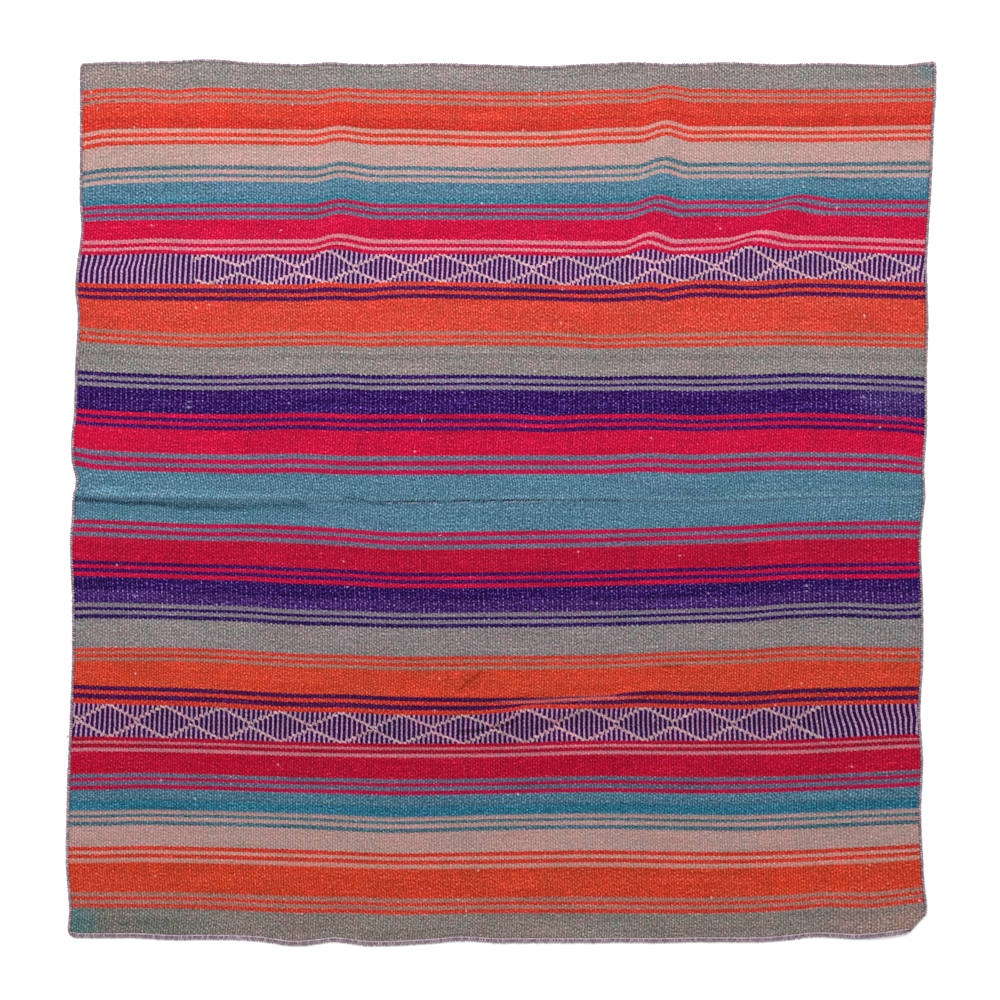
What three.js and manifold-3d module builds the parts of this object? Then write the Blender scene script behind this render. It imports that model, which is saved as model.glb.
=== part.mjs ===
// A hand-woven striped blanket of two panels sewn edge to edge, laid out flat.
// Millimetres: X runs along the stripes, Y across them, Z up from the floor that it lies on.
import * as THREE from 'three';
import { mergeVertices } from 'three/addons/utils/BufferGeometryUtils.js';
import Module from 'manifold-3d';

const wasm = await Module();
wasm.setup();

// Driving dimensions
const CLOTH = 2.5; // thickness of the woven wool
const GAP = 0.3; // parting between pieces that are sewn together
const EDGING_WIDTH = 4.5; // overcast yarn, outward from the cloth's edge
const EDGING_HEIGHT = 4.2;
const HALF_X = 640; // nominal half length of the stripes
const HALF_Y = 656; // nominal distance from the seam to an outer edge
const COARSE_STEP = 64; // widest cell of the cloth's grid
const CLOSEST = 5; // grid places are at least this far apart
const ARC_STEPS = 5; // straight pieces in a rounded corner
const CORNER_RADIUS = { topLeft: 6, topRight: 3, bottomLeft: 13 };
const CUT_LOW = -10; // cutters reach well under and over the cloth
const CUT_HIGH = 30;

// The outline and the seam, at places along the stripes: the upper edge, the seam and the lower edge in Y
const ACROSS = [
  { x: -640, top: 654, seam: 6, bottom: -652.5 },
  { x: -586, top: 660, seam: 6, bottom: -652.5 },
  { x: -538, top: 661, seam: 5.5, bottom: -652.5 },
  { x: -484, top: 663, seam: 5, bottom: -655.5 },
  { x: -448, top: 664.5, seam: 4.5, bottom: -655 },
  { x: -391, top: 660, seam: 3.5, bottom: -655.5 },
  { x: -354, top: 658.5, seam: 3, bottom: -657.5 },
  { x: -304, top: 657, seam: 2.5, bottom: -664.5 },
  { x: -268, top: 660, seam: 2, bottom: -661.5 },
  { x: -241, top: 658, seam: 1.5, bottom: -658.5 },
  { x: -188, top: 657, seam: 0.5, bottom: -664.5 },
  { x: -106, top: 658.5, seam: 1, bottom: -661.5 },
  { x: -52, top: 657, seam: 2, bottom: -657 },
  { x: 0, top: 655.5, seam: 2.5, bottom: -660 },
  { x: 56, top: 654, seam: 3, bottom: -660 },
  { x: 110, top: 657, seam: 3.5, bottom: -660 },
  { x: 149, top: 658.5, seam: 4, bottom: -660 },
  { x: 182, top: 660, seam: 2.5, bottom: -659 },
  { x: 239, top: 657.5, seam: 0.5, bottom: -660 },
  { x: 290, top: 658.5, seam: 0, bottom: -658.5 },
  { x: 326, top: 660, seam: 1, bottom: -658.5 },
  { x: 398, top: 657, seam: 3, bottom: -658.5 },
  { x: 434, top: 657.5, seam: 5, bottom: -655.5 },
  { x: 476, top: 658.5, seam: 6.5, bottom: -651 },
  { x: 542, top: 656.5, seam: 8, bottom: -654 },
  { x: 584, top: 655.5, seam: 8.5, bottom: -649.5 },
  { x: 614, top: 658.5, seam: 9, bottom: -645 },
  { x: 640, top: 661, seam: 9, bottom: -645 },
];

// The left and the right side in X, at places across the stripes
const DOWN = [
  { y: 656, left: -631, right: 652 },
  { y: 600, left: -631, right: 651.5 },
  { y: 560, left: -631, right: 648.5 },
  { y: 516, left: -631, right: 647 },
  { y: 453, left: -631, right: 644 },
  { y: 412, left: -629, right: 641 },
  { y: 360, left: -635, right: 638 },
  { y: 318, left: -638, right: 639 },
  { y: 273, left: -634, right: 640 },
  { y: 198, left: -638, right: 638 },
  { y: 123, left: -640, right: 638 },
  { y: 84, left: -644, right: 635.5 },
  { y: 48, left: -643, right: 634 },
  { y: 22, left: -637, right: 633.5 },
  { y: 0, left: -642, right: 633 },
  { y: -42, left: -643, right: 631.5 },
  { y: -78, left: -646, right: 629 },
  { y: -160, left: -643, right: 632 },
  { y: -258, left: -643, right: 632 },
  { y: -330, left: -645.5, right: 628 },
  { y: -402, left: -649, right: 632 },
  { y: -474, left: -651, right: 629 },
  { y: -546, left: -652, right: 632 },
  { y: -590, left: -649, right: 634 },
  { y: -618, left: -647, right: 637 },
  { y: -656, left: -650, right: 637 },
];

// Ripples that stand up from the floor: a rounded ridge from one end to the other, fading out at both
const RIPPLES = [
  { name: 'left ripple', x1: -246, y1: 640, x2: -243, y2: 345, half: 38, height: 7, fade: 90 },
  { name: 'left ripple, tail', x1: -243, y1: 380, x2: -236, y2: 150, half: 18, height: 3, fade: 70 },
  { name: 'right ripple', x1: 246, y1: 640, x2: 238, y2: 400, half: 36, height: 9, fade: 70 },
  { name: 'right ripple, foot', x1: 240, y1: 450, x2: 215, y2: 345, half: 32, height: 5, fade: 50 },
  { name: 'slanting ripple', x1: 345, y1: 335, x2: 470, y2: 490, half: 34, height: 6, fade: 60 },
  { name: 'diagonal tuck', x1: -30, y1: -348, x2: 250, y2: -276, half: 14, height: 5, fade: 40 },
  { name: 'seam tuck', x1: -700, y1: 14, x2: -345, y2: 2, half: 14, height: 5, fade: 60 },
];

// The lower right corner is folded under along the line from one side to the other
const FOLD = { x1: 637, y1: -618, x2: 608, y2: -650 };
const FOLD_FULL = 24; // width of cloth that lies on the turned-under flap
const FOLD_EASE = 28; // width in which it comes down to the floor
const FOLD_TURN = 3; // thickness of the turn itself
const FOLD_CUT = { before: -20, after: 70, beyond: -60 }; // cutter along the fold line and outside it

// Finer cells of the cloth's grid where it rises
const FINE_X_UPPER = [
  { from: -285, to: -205, step: 16 },
  { from: 195, to: 285, step: 16 },
  { from: 340, to: 470, step: 22 },
];
const FINE_X_LOWER = [
  { from: -30, to: 250, step: 40 },
  { from: 572, to: 632, step: 15 },
];
const FINE_Y_UPPER = [{ from: 7, to: 28, step: 7 }];
const FINE_Y_LOWER = [
  { from: -20, to: -8, step: 12 },
  { from: -360, to: -260, step: 11 },
  { from: -648, to: -588, step: 15 },
];

// A smooth curve through one column of a table, by the table's own place column
function curve(rows, placeKey, valueKey, place) {
  const sorted = rows[0][placeKey] < rows[1][placeKey] ? rows : [...rows].reverse();
  const last = sorted.length - 1;
  let i = 0;
  while (i < last - 1 && place > sorted[i + 1][placeKey]) i += 1;
  const at = (k) => sorted[Math.min(Math.max(k, 0), last)];
  const slope = (k) => {
    const run = at(k + 1)[placeKey] - at(k - 1)[placeKey];
    return (at(k + 1)[valueKey] - at(k - 1)[valueKey]) / run;
  };
  const span = at(i + 1)[placeKey] - at(i)[placeKey];
  const f = Math.min(Math.max((place - at(i)[placeKey]) / span, 0), 1);
  const f2 = f * f;
  const f3 = f2 * f;
  return (2 * f3 - 3 * f2 + 1) * at(i)[valueKey] + (f3 - 2 * f2 + f) * span * slope(i)
    + (3 * f2 - 2 * f3) * at(i + 1)[valueKey] + (f3 - f2) * span * slope(i + 1);
}

// Goes from 0 to 1 without a corner while f goes from 0 to 1
function ease(f) {
  const g = Math.min(Math.max(f, 0), 1);
  return g * g * (3 - 2 * g);
}

// Distance inside the fold line, towards the middle of the blanket
function insideFold(x, y) {
  const along = new THREE.Vector2(FOLD.x2 - FOLD.x1, FOLD.y2 - FOLD.y1).normalize();
  return (x - FOLD.x1) * along.y - (y - FOLD.y1) * along.x;
}

// Height of the cloth's underside over the floor
function lift(x, y) {
  let height = 0;
  for (const r of RIPPLES) {
    const length = Math.hypot(r.x2 - r.x1, r.y2 - r.y1);
    const ux = (r.x2 - r.x1) / length;
    const uy = (r.y2 - r.y1) / length;
    const along = (x - r.x1) * ux + (y - r.y1) * uy;
    const off = Math.abs((x - r.x1) * uy - (y - r.y1) * ux);
    const ends = ease(along / r.fade) * ease((length - along) / r.fade);
    if (off < r.half) height = Math.max(height, r.height * ends * ease(1 - off / r.half));
  }
  const overFlap = (CLOTH + GAP) * (1 - ease((insideFold(x, y) - FOLD_FULL) / FOLD_EASE));
  return Math.max(height, overFlap);
}

// Grid places from one end to the other: the fine zones, the table's own, then wide cells divided
function stations(from, to, marks, zones) {
  const places = [from, to];
  const add = (p) => {
    const clear = places.every((q) => Math.abs(q - p) > CLOSEST);
    if (p > from && p < to && clear) places.push(p);
  };
  for (const z of zones) for (let p = z.from; p <= z.to; p += z.step) add(p);
  marks.forEach(add);
  places.sort((a, b) => a - b);
  const filled = [];
  for (let i = 0; i + 1 < places.length; i += 1) {
    const cells = Math.ceil((places[i + 1] - places[i]) / COARSE_STEP);
    for (let k = 0; k < cells; k += 1) {
      filled.push(places[i] + ((places[i + 1] - places[i]) * k) / cells);
    }
  }
  filled.push(to);
  return filled;
}

// Where the nominal place (x, t) of a panel lies; t is 0 at the seam and HALF_Y at the outer edge
function place(panel, x, t) {
  const nominalY = panel.side * t;
  const inset = EDGING_WIDTH + GAP;
  const left = curve(DOWN, 'y', 'left', nominalY) + inset;
  const right = curve(DOWN, 'y', 'right', nominalY) - inset;
  const seam = curve(ACROSS, 'x', 'seam', x) + panel.side * GAP / 2;
  const edge = curve(ACROSS, 'x', panel.edge, x) - panel.side * inset;
  const px = left + ((right - left) * (x + HALF_X)) / (2 * HALF_X);
  const py = seam + ((edge - seam) * t) / HALF_Y;
  return { x: px, y: py, z: lift(px, py) };
}

// A closed solid from rings of points: each ring is one section, and the ends are capped
function loft(rings) {
  const n = rings[0].length;
  const positions = rings.flat(2);
  const index = [];
  for (let i = 0; i + 1 < rings.length; i += 1) {
    for (let k = 0; k < n; k += 1) {
      const a = i * n + k;
      const b = i * n + ((k + 1) % n);
      index.push(a, a + n, b, b, a + n, b + n);
    }
  }
  const lastRing = (rings.length - 1) * n;
  for (let k = 1; k + 1 < n; k += 1) {
    index.push(0, k, k + 1);
    index.push(lastRing, lastRing + k + 1, lastRing + k);
  }
  return closedFacingOut(positions, index);
}

// Turns every face over if the solid came out inside out
function closedFacingOut(positions, index) {
  let volume = 0;
  const v = (k) => new THREE.Vector3(positions[3 * k], positions[3 * k + 1], positions[3 * k + 2]);
  for (let k = 0; k < index.length; k += 3) {
    volume += v(index[k]).dot(v(index[k + 1]).cross(v(index[k + 2])));
  }
  if (volume < 0) index.reverse();
  const geometry = new THREE.BufferGeometry();
  geometry.setAttribute('position', new THREE.Float32BufferAttribute(positions, 3));
  geometry.setIndex(index);
  return geometry;
}

// One panel: an even sheet whose upper and lower faces share one grid
function sheet(panel) {
  const nx = panel.xs.length;
  const nt = panel.ts.length;
  const positions = [];
  for (const raise of [0, CLOTH]) {
    for (const t of panel.ts) {
      for (const x of panel.xs) {
        const p = place(panel, x, t);
        positions.push(p.x, p.y, p.z + raise);
      }
    }
  }
  const upper = nx * nt;
  const index = [];
  const quad = (a, b, c, d) => index.push(a, b, c, a, c, d);
  for (let j = 0; j + 1 < nt; j += 1) {
    for (let i = 0; i + 1 < nx; i += 1) {
      const a = j * nx + i;
      quad(upper + a, upper + a + 1, upper + a + nx + 1, upper + a + nx);
      quad(a, a + nx, a + nx + 1, a + 1);
    }
  }
  const wall = (a, b) => quad(a, b, upper + b, upper + a);
  const far = (nt - 1) * nx;
  for (let i = 0; i + 1 < nx; i += 1) {
    wall(i, i + 1);
    wall(far + i + 1, far + i);
  }
  for (let j = 0; j + 1 < nt; j += 1) {
    wall((j + 1) * nx, j * nx);
    wall(j * nx + nx - 1, (j + 1) * nx + nx - 1);
  }
  return closedFacingOut(positions, index);
}

// Section of the overcast edging: outward from its straight inner face, and up
function edgingSection() {
  const round = EDGING_HEIGHT / 2;
  const points = [{ out: 0, up: 0 }];
  for (let k = -2; k <= 2; k += 1) {
    const angle = (k * Math.PI) / 4;
    const out = EDGING_WIDTH - round + round * Math.cos(angle);
    points.push({ out, up: round + round * Math.sin(angle) });
  }
  points.push({ out: 0, up: EDGING_HEIGHT });
  return points;
}

// Edging along a panel's outer edge, from one side of the outline to the other
function endEdging(panel) {
  const rings = [];
  const run = panel.xs.map((x) => place(panel, x, HALF_Y));
  const reach = EDGING_WIDTH + GAP;
  const first = run[0];
  const last = run[run.length - 1];
  const path = [{ ...first, x: first.x - reach }, ...run, { ...last, x: last.x + reach }];
  for (const p of path) {
    rings.push(edgingSection().map((s) => [p.x, p.y + panel.side * (GAP + s.out), p.z + s.up]));
  }
  return loft(rings);
}

// Edging along one side of a panel, from the seam to the outer edge
function sideEdging(panel, x) {
  const outward = Math.sign(x);
  const rings = panel.ts.map((t) => {
    const p = place(panel, x, t);
    return edgingSection().map((s) => [p.x + outward * (GAP + s.out), p.y, p.z + s.up]);
  });
  return loft(rings);
}

// A prism standing on a flat outline
function prism(points, low, high) {
  const outline = new THREE.Shape(points.map((p) => new THREE.Vector2(p.x, p.y)));
  const solid = new THREE.ExtrudeGeometry(outline, { depth: high - low, bevelEnabled: false });
  return solid.translate(0, 0, low);
}

// What is cut off to round a corner of the outline; sx and sy point outward
function cornerCut(x, y, sx, sy, radius) {
  const beyond = 4;
  const points = [{ x: x - sx * radius, y: y + sy * beyond }];
  for (let k = 0; k <= ARC_STEPS; k += 1) {
    const angle = (Math.PI / 2) * (1 - k / ARC_STEPS);
    const cx = x + sx * radius * (Math.cos(angle) - 1);
    const cy = y + sy * radius * (Math.sin(angle) - 1);
    points.push({ x: cx, y: cy });
  }
  points.push({ x: x + sx * beyond, y: y - sy * radius }, { x: x + sx * beyond, y: y + sy * beyond });
  return prism(points, CUT_LOW, CUT_HIGH);
}

// Points on the fold line and beside it, from its own two ends
function foldPoint(along, inside) {
  const u = new THREE.Vector2(FOLD.x2 - FOLD.x1, FOLD.y2 - FOLD.y1).normalize();
  return { x: FOLD.x1 + u.x * along + u.y * inside, y: FOLD.y1 + u.y * along - u.x * inside };
}

function toSolid(geometry) {
  const bare = geometry.clone();
  bare.deleteAttribute('normal');
  bare.deleteAttribute('uv');
  const merged = mergeVertices(bare, 1e-4);
  return new wasm.Manifold(new wasm.Mesh({
    numProp: 3,
    vertProperties: new Float32Array(merged.attributes.position.array),
    triVerts: new Uint32Array(merged.index.array),
  }));
}

function toGeometry(solid) {
  const mesh = solid.getMesh();
  const geometry = new THREE.BufferGeometry();
  geometry.setAttribute('position', new THREE.BufferAttribute(mesh.vertProperties, 3));
  geometry.setIndex(new THREE.BufferAttribute(mesh.triVerts, 1));
  return geometry;
}

function cutAway(geometry, ...cutters) {
  let solid = toSolid(geometry);
  for (const cutter of cutters) solid = solid.subtract(toSolid(cutter));
  return toGeometry(solid);
}

// The turned-under corner: the turn along the fold line, and the flap that lies on the floor
function addFlap(geometry) {
  const corner = place(lower, HALF_X, HALF_Y);
  const depth = -insideFold(corner.x, corner.y);
  const u = new THREE.Vector2(FOLD.x2 - FOLD.x1, FOLD.y2 - FOLD.y1).normalize();
  const foot = (corner.x - FOLD.x1) * u.x + (corner.y - FOLD.y1) * u.y;
  const start = (corner.x - FOLD.x1) / u.x;
  const end = (corner.y - FOLD.y1) / u.y;
  const turnTop = CLOTH + GAP + CLOTH / 2;
  const turn = prism([
    foldPoint(start, 0),
    foldPoint(start, FOLD_TURN),
    foldPoint(end, FOLD_TURN),
    foldPoint(end, 0),
  ], 0, turnTop);
  const flap = prism([foldPoint(start, 0), foldPoint(foot, depth), foldPoint(end, 0)], 0, CLOTH);
  return toGeometry(toSolid(geometry).add(toSolid(turn)).add(toSolid(flap)));
}

const markX = ACROSS.map((row) => row.x);
const markY = DOWN.map((row) => row.y);
const flip = (zones) => zones.map((z) => ({ from: -z.to, to: -z.from, step: z.step }));
const upper = {
  side: 1,
  edge: 'top',
  xs: stations(-HALF_X, HALF_X, markX, FINE_X_UPPER),
  ts: stations(0, HALF_Y, markY, FINE_Y_UPPER),
};
const lower = {
  side: -1,
  edge: 'bottom',
  xs: stations(-HALF_X, HALF_X, markX, FINE_X_LOWER),
  ts: stations(0, HALF_Y, markY.map((y) => -y), flip(FINE_Y_LOWER)),
};

const topRow = ACROSS[0];
const topEnd = ACROSS[ACROSS.length - 1];
const highRow = DOWN[0];
const lowRow = DOWN[DOWN.length - 1];
const topLeftCut = cornerCut(highRow.left, topRow.top, -1, 1, CORNER_RADIUS.topLeft);
const topRightCut = cornerCut(highRow.right, topEnd.top, 1, 1, CORNER_RADIUS.topRight);
const bottomLeftCut = cornerCut(lowRow.left, topRow.bottom, -1, -1, CORNER_RADIUS.bottomLeft);
const foldCut = prism([
  foldPoint(FOLD_CUT.before, 0),
  foldPoint(FOLD_CUT.before, FOLD_CUT.beyond),
  foldPoint(FOLD_CUT.after, FOLD_CUT.beyond),
  foldPoint(FOLD_CUT.after, 0),
], CUT_LOW, CUT_HIGH);

const blanket = new THREE.Group();
const WOOL = { color: 0xc04050, roughness: 0.95, metalness: 0 };
const YARN = { color: 0x9d9198, roughness: 0.9, metalness: 0 };

function piece(name, geometry, finish) {
  const material = new THREE.MeshStandardMaterial(finish);
  const mesh = new THREE.Mesh(geometry, material);
  mesh.name = name;
  blanket.add(mesh);
}

piece('panel_upper', sheet(upper), WOOL);
piece('panel_lower', addFlap(cutAway(sheet(lower), foldCut)), WOOL);
piece('edging_top', cutAway(endEdging(upper), topLeftCut, topRightCut), YARN);
piece('edging_bottom', cutAway(endEdging(lower), bottomLeftCut, foldCut), YARN);
piece('edging_left_upper', sideEdging(upper, -HALF_X), YARN);
piece('edging_left_lower', sideEdging(lower, -HALF_X), YARN);
piece('edging_right_upper', sideEdging(upper, HALF_X), YARN);
piece('edging_right_lower', cutAway(sideEdging(lower, HALF_X), foldCut), YARN);

export default blanket;
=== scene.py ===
# %% [markdown]
# # A woven blanket of two striped panels
#
# The blanket is handwoven wool, laid out flat and seen from straight above. A weaver made one long
# striped web, cut it in two, turned one half round and sewed the halves together along the middle.
# Yarn is overcast round all four sides. This script dresses the plain solids of the model: it lays
# two thin sheets of cloth on the same ripples, gives them the weave, the stripes, the stains and
# painted light and shade as nodes, and sews the edging, the seam and the loose ends with real
# strands.
#
# First the fixed frame is loaded. Everything else is placed in it, in metres.

import bpy
import numpy as np
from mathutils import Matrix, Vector


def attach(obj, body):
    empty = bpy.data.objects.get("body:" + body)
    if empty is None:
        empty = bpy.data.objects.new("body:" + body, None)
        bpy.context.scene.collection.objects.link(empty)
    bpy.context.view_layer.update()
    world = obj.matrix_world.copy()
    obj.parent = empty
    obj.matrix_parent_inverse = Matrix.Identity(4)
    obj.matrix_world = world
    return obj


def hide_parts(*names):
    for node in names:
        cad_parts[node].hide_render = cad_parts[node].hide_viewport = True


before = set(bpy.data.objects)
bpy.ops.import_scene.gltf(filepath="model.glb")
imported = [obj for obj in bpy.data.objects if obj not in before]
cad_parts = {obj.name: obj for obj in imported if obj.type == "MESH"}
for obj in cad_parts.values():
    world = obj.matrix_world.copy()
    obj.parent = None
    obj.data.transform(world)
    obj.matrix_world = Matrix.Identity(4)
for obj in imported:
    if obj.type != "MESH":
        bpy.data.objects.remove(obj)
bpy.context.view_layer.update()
MM = 0.001

# %% [markdown]
# The camera looks straight down on the middle of the blanket. A long lens could show the same
# width from further away or a short one from nearer. 85 mm is what a photographer takes for such
# a picture, because the edges stay straight. Its height follows from the width that it has to see.

# %% Camera
LENS = 85
SENSOR = 36
VIEW_WIDTH = 1.5
VIEW_CENTRE = (-1.5 * MM, 3.75 * MM)
CLOTH_TOP = 2.5 * MM


def in_scene(name, data):
    """A new object in the scene"""
    piece = bpy.data.objects.new(name, data)
    bpy.context.scene.collection.objects.link(piece)
    return piece


camera_data = bpy.data.cameras.new("camera")
camera_data.lens = LENS
camera_data.sensor_width = SENSOR
camera = in_scene("camera", camera_data)
camera.location = (*VIEW_CENTRE, CLOTH_TOP + VIEW_WIDTH * LENS / SENSOR)
bpy.context.scene.camera = camera
print("camera height in m:", round(camera.location.z, 3))

# %% [markdown]
# ## The outline and the ripples
#
# Handwoven cloth has no straight line in it, so the outline is a short table read from the photo,
# and a smooth curve goes through its rows. Nearly the same rows shaped the plain solids, so the
# cloth lies in their place. All tables are in millimetres.

# %% Tables and smooth curves
def table(columns, *rows):
    """Rows of numbers under named columns, as one array for each column"""
    return dict(zip(columns.split(), np.array(rows, float).T))


def through(places, values, at):
    """The smooth curve through rows of values, at other places along the rows"""
    at = np.clip(at, places[0], places[-1])
    k = np.clip(np.searchsorted(places, at, side="right") - 1, 0, len(places) - 2)
    rows = np.arange(len(places))
    before = np.maximum(rows - 1, 0)
    after = np.minimum(rows + 1, rows[-1])
    shape = (-1,) + (1,) * (values.ndim - 1)
    slope = (values[after] - values[before]) / (places[after] - places[before]).reshape(shape)
    span = (places[k + 1] - places[k]).reshape(shape)
    f = (at - places[k]).reshape(shape) / span
    rise = 3 * f**2 - 2 * f**3
    start_turn = (f**3 - 2 * f**2 + f) * span * slope[k]
    end_turn = (f**3 - f**2) * span * slope[k + 1]
    return (1 - rise) * values[k] + rise * values[k + 1] + start_turn + end_turn


def ease(f):
    """From 0 to 1 without a corner while f goes from 0 to 1"""
    g = np.clip(f, 0, 1)
    return g * g * (3 - 2 * g)


def between(value, low, high, soft):
    """1 from low to high and 0 outside, with soft borders"""
    return ease((value - low) / soft + 0.5) * ease((high - value) / soft + 0.5)


# %% The outline
ACROSS = table(
    "x top seam bottom",
    (-640, 658.5, 6, -652.5), (-586, 660.5, 6, -652.5), (-538, 661, 5.5, -652.5),
    (-484, 663, 5, -655.5), (-448, 664.5, 4.5, -655), (-391, 660, 3.5, -655.5),
    (-354, 658.5, 3, -657.5), (-304, 657, 2.5, -664.5), (-268, 660, 2, -661.5),
    (-241, 658, 1.5, -658.5), (-188, 657, 0.5, -664.5), (-106, 658.5, 1, -661.5),
    (-52, 657, 2, -657), (0, 655.5, 2.5, -660), (56, 654, 3, -660),
    (110, 657, 3.5, -660), (149, 658.5, 4, -660), (182, 660, 2.5, -659),
    (239, 657.5, 0.5, -660), (290, 658.5, 0, -658.5), (326, 660, 1, -658.5),
    (398, 657, 3, -658.5), (434, 657.5, 5, -655.5), (476, 658.5, 6.5, -651),
    (542, 656.5, 8, -654), (584, 655.5, 8.5, -649.5), (614, 658.5, 9, -645),
    (640, 661, 9, -645),
)
DOWN = table(
    "y left right",
    (-656, -650, 637), (-618, -647, 637), (-590, -649, 634), (-546, -652, 632),
    (-474, -651, 629), (-402, -649, 632), (-330, -645.5, 628), (-258, -643, 632),
    (-160, -643, 632), (-78, -646, 629), (-42, -643, 631.5), (0, -642, 635.5),
    (22, -637, 635), (48, -643, 634), (84, -644, 635.5), (123, -640, 638),
    (198, -638, 638), (273, -634, 640), (318, -638, 639), (360, -635, 638),
    (412, -629, 641), (453, -631, 644), (516, -631, 647), (560, -631, 648.5),
    (600, -631, 651.5), (656, -631, 652),
)
HALF_X = 640
SEAM = 2.5
REACH = {1: 655.5, -1: 660}
print("outline rows:", len(ACROSS["x"]), "along,", len(DOWN["y"]), "down")

# %% [markdown]
# The ripples are the places where the cloth doesn't lie flat. Cloth simulation would put them
# somewhere else each time, so they are laid where the photo has them: each one is a soft ridge with
# a length, a half width and a height. The last corner is folded under, and near that fold the cloth
# has to climb over its own flap.

# %% Ripples and the turned corner
RIPPLES = table(
    "x1 y1 x2 y2 half height fade",
    (-246, 640, -243, 345, 38, 7, 90),
    (-243, 380, -236, 150, 18, 3, 70),
    (246, 640, 238, 400, 36, 9, 70),
    (240, 450, 215, 345, 32, 5, 50),
    (345, 335, 470, 490, 34, 6, 60),
    (-30, -348, 250, -276, 14, 5, 40),
    (-700, 14, -345, 2, 14, 5, 60),
)
CLOTH = 2.5
GAP = 0.3
FOLD = np.array([[637.0, -618.0], [608.0, -650.0]])
FOLD_ALONG = (FOLD[1] - FOLD[0]) / np.linalg.norm(FOLD[1] - FOLD[0])
FOLD_FULL = 24
FOLD_EASE = 28


def inside_fold(x, y):
    """Distance inside the line of the turned corner, towards the middle"""
    return (x - FOLD[0, 0]) * FOLD_ALONG[1] - (y - FOLD[0, 1]) * FOLD_ALONG[0]


def lift(x, y):
    """Height of the cloth's underside over the floor"""
    height = np.zeros_like(x)
    for x1, y1, x2, y2, half, top, fade in zip(*RIPPLES.values()):
        length = np.hypot(x2 - x1, y2 - y1)
        ux, uy = (x2 - x1) / length, (y2 - y1) / length
        along = (x - x1) * ux + (y - y1) * uy
        off = np.abs((x - x1) * uy - (y - y1) * ux)
        ends = ease(along / fade) * ease((length - along) / fade)
        height = np.maximum(height, top * ends * ease(1 - off / half))
    over_flap = (CLOTH + GAP) * (1 - ease((inside_fold(x, y) - FOLD_FULL) / FOLD_EASE))
    return np.maximum(height, over_flap)


print("highest ripple in mm:", RIPPLES["height"].max())

# %% [markdown]
# ## How the stripes run
#
# On the real blanket the stripes are warp threads, and they wander a few millimetres up and down
# on their way across. A picture could be laid over a flat sheet, but then every stripe would be
# straight. Here each row of the mesh follows one thread instead. `COURSES` says how far a thread
# has strayed from its own height at the middle, and the ripples push it up a little further.

# %% Wandering threads
COURSE_X = np.array([-640, -600, -450, -300, -225, -150, 0, 150, 300, 375, 450, 600, 640.0])
COURSES = table(
    "level w640 w600 w450 w300 w225 w150 middle e150 e300 e375 e450 e600 e640",
    (-612, 7.8, 7.8, 6.5, 0.5, 0.2, -2.2, 0, 0, -0.6, 1, 5, 12.8, 17.5),
    (-552, 8.3, 8.3, 8, 3.5, 1.7, -0.8, 0, 2.2, 0, 0.8, 3, 10.8, 14.2),
    (-492, 6.8, 6.8, 7, 3, -0.7, -3.8, 0, 2.2, 0, -0.7, 1.8, 8.4, 9.5),
    (-432, 5.7, 6.5, 6.4, 1.6, 0.3, -1.9, 0, 2.8, 0.8, 1.5, 3.8, 10, 12.3),
    (-402, 7.3, 7.8, 6.5, 1.7, 0.5, -1, 0, 3.8, 2, 2.5, 3.8, 12, 14),
    (-362, 9.5, 10, 7, 2, 0.5, -0.5, 0, 3.8, 3.7, 4.2, 5.2, 12.5, 13.5),
    (-317, 19, 17, 13, 5, 4.2, 0.6, 0, 0, 0.2, -0.8, 3.8, 6.7, 7.5),
    (-293, 20, 18.2, 14.2, 6.3, 5.4, 2, 0, 0.5, -0.7, -1.2, 3.2, 6.5, 7),
    (-252, 13.5, 13.2, 11.6, 3.6, 1.6, -1.2, 0, 0.6, 3.5, 6, 9.5, 8.1, 8),
    (-222, 11.5, 12.6, 11.4, 3.3, 1.5, -1, 0, 1, 6.7, 8.4, 14, 12.3, 12),
    (-162, 15, 15, 11, 4.2, 2.2, -0.6, 0, 1.8, 5.8, 8, 13.2, 12.2, 14.8),
    (-102, 18.8, 17.4, 12.5, 7, 4, -0.5, 0, 2.8, 6.9, 8.7, 12.8, 14.8, 15.5),
    (-42, 17.8, 17, 10.6, 7.7, 3.5, -1.6, 0, 2.5, 5.9, 8.9, 13.2, 15.3, 14.5),
    (48, 14.6, 7.3, 2.7, 2.5, -0.6, -1, 0, 0.2, 1.8, 4.8, 6.4, 2.9, -1.4),
    (78, 12, 7.6, 1.5, 2.3, -0.9, -1, 0, 0, 0.6, 3.1, 4.4, 0.4, -5),
    (138, 8.2, 5, -0.4, 1.5, -0.3, -0.5, 0, -0.3, -2.2, -0.1, 1.5, -3.7, -8),
    (198, 7, 4, -1, 0.5, -0.8, -0.5, 0, -3, -1.4, -0.2, 2.3, -1.5, -3.7),
    (258, 7.3, 3.5, -3, -0.5, -2.8, 0, 0, -4.5, -1.4, 0.1, 0, -2.7, -4),
    (318, 1.5, -0.6, -1.5, -2.5, -2.4, 2.5, 0, -3.6, 4.8, 2.4, 6.3, 2, 1),
    (378, -0.6, -0.5, 0.2, 0.8, 0.5, 0.8, 0, -2.7, 1.2, 4.6, 5.9, 0.8, -1.2),
    (438, -4, -1.5, 0.6, 0.5, 0.5, 0.3, 0, 0.6, 6, 5.5, 7.4, 6, 5.5),
    (498, -7, -1, 3.5, 1.5, 1.6, 2.3, 0, 3, 7.3, 7.6, 7.4, 9.2, 9.5),
    (558, -3, 3.5, 5, 2.8, 3.1, 3.6, 0, 5.5, 7.8, 8.3, 7, 9.2, 9.5),
    (618, 0.8, 5, 6.5, 1.4, 2.8, 3.1, 0, 3, 4.2, 3, 3.1, 4.2, 6),
)
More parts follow.
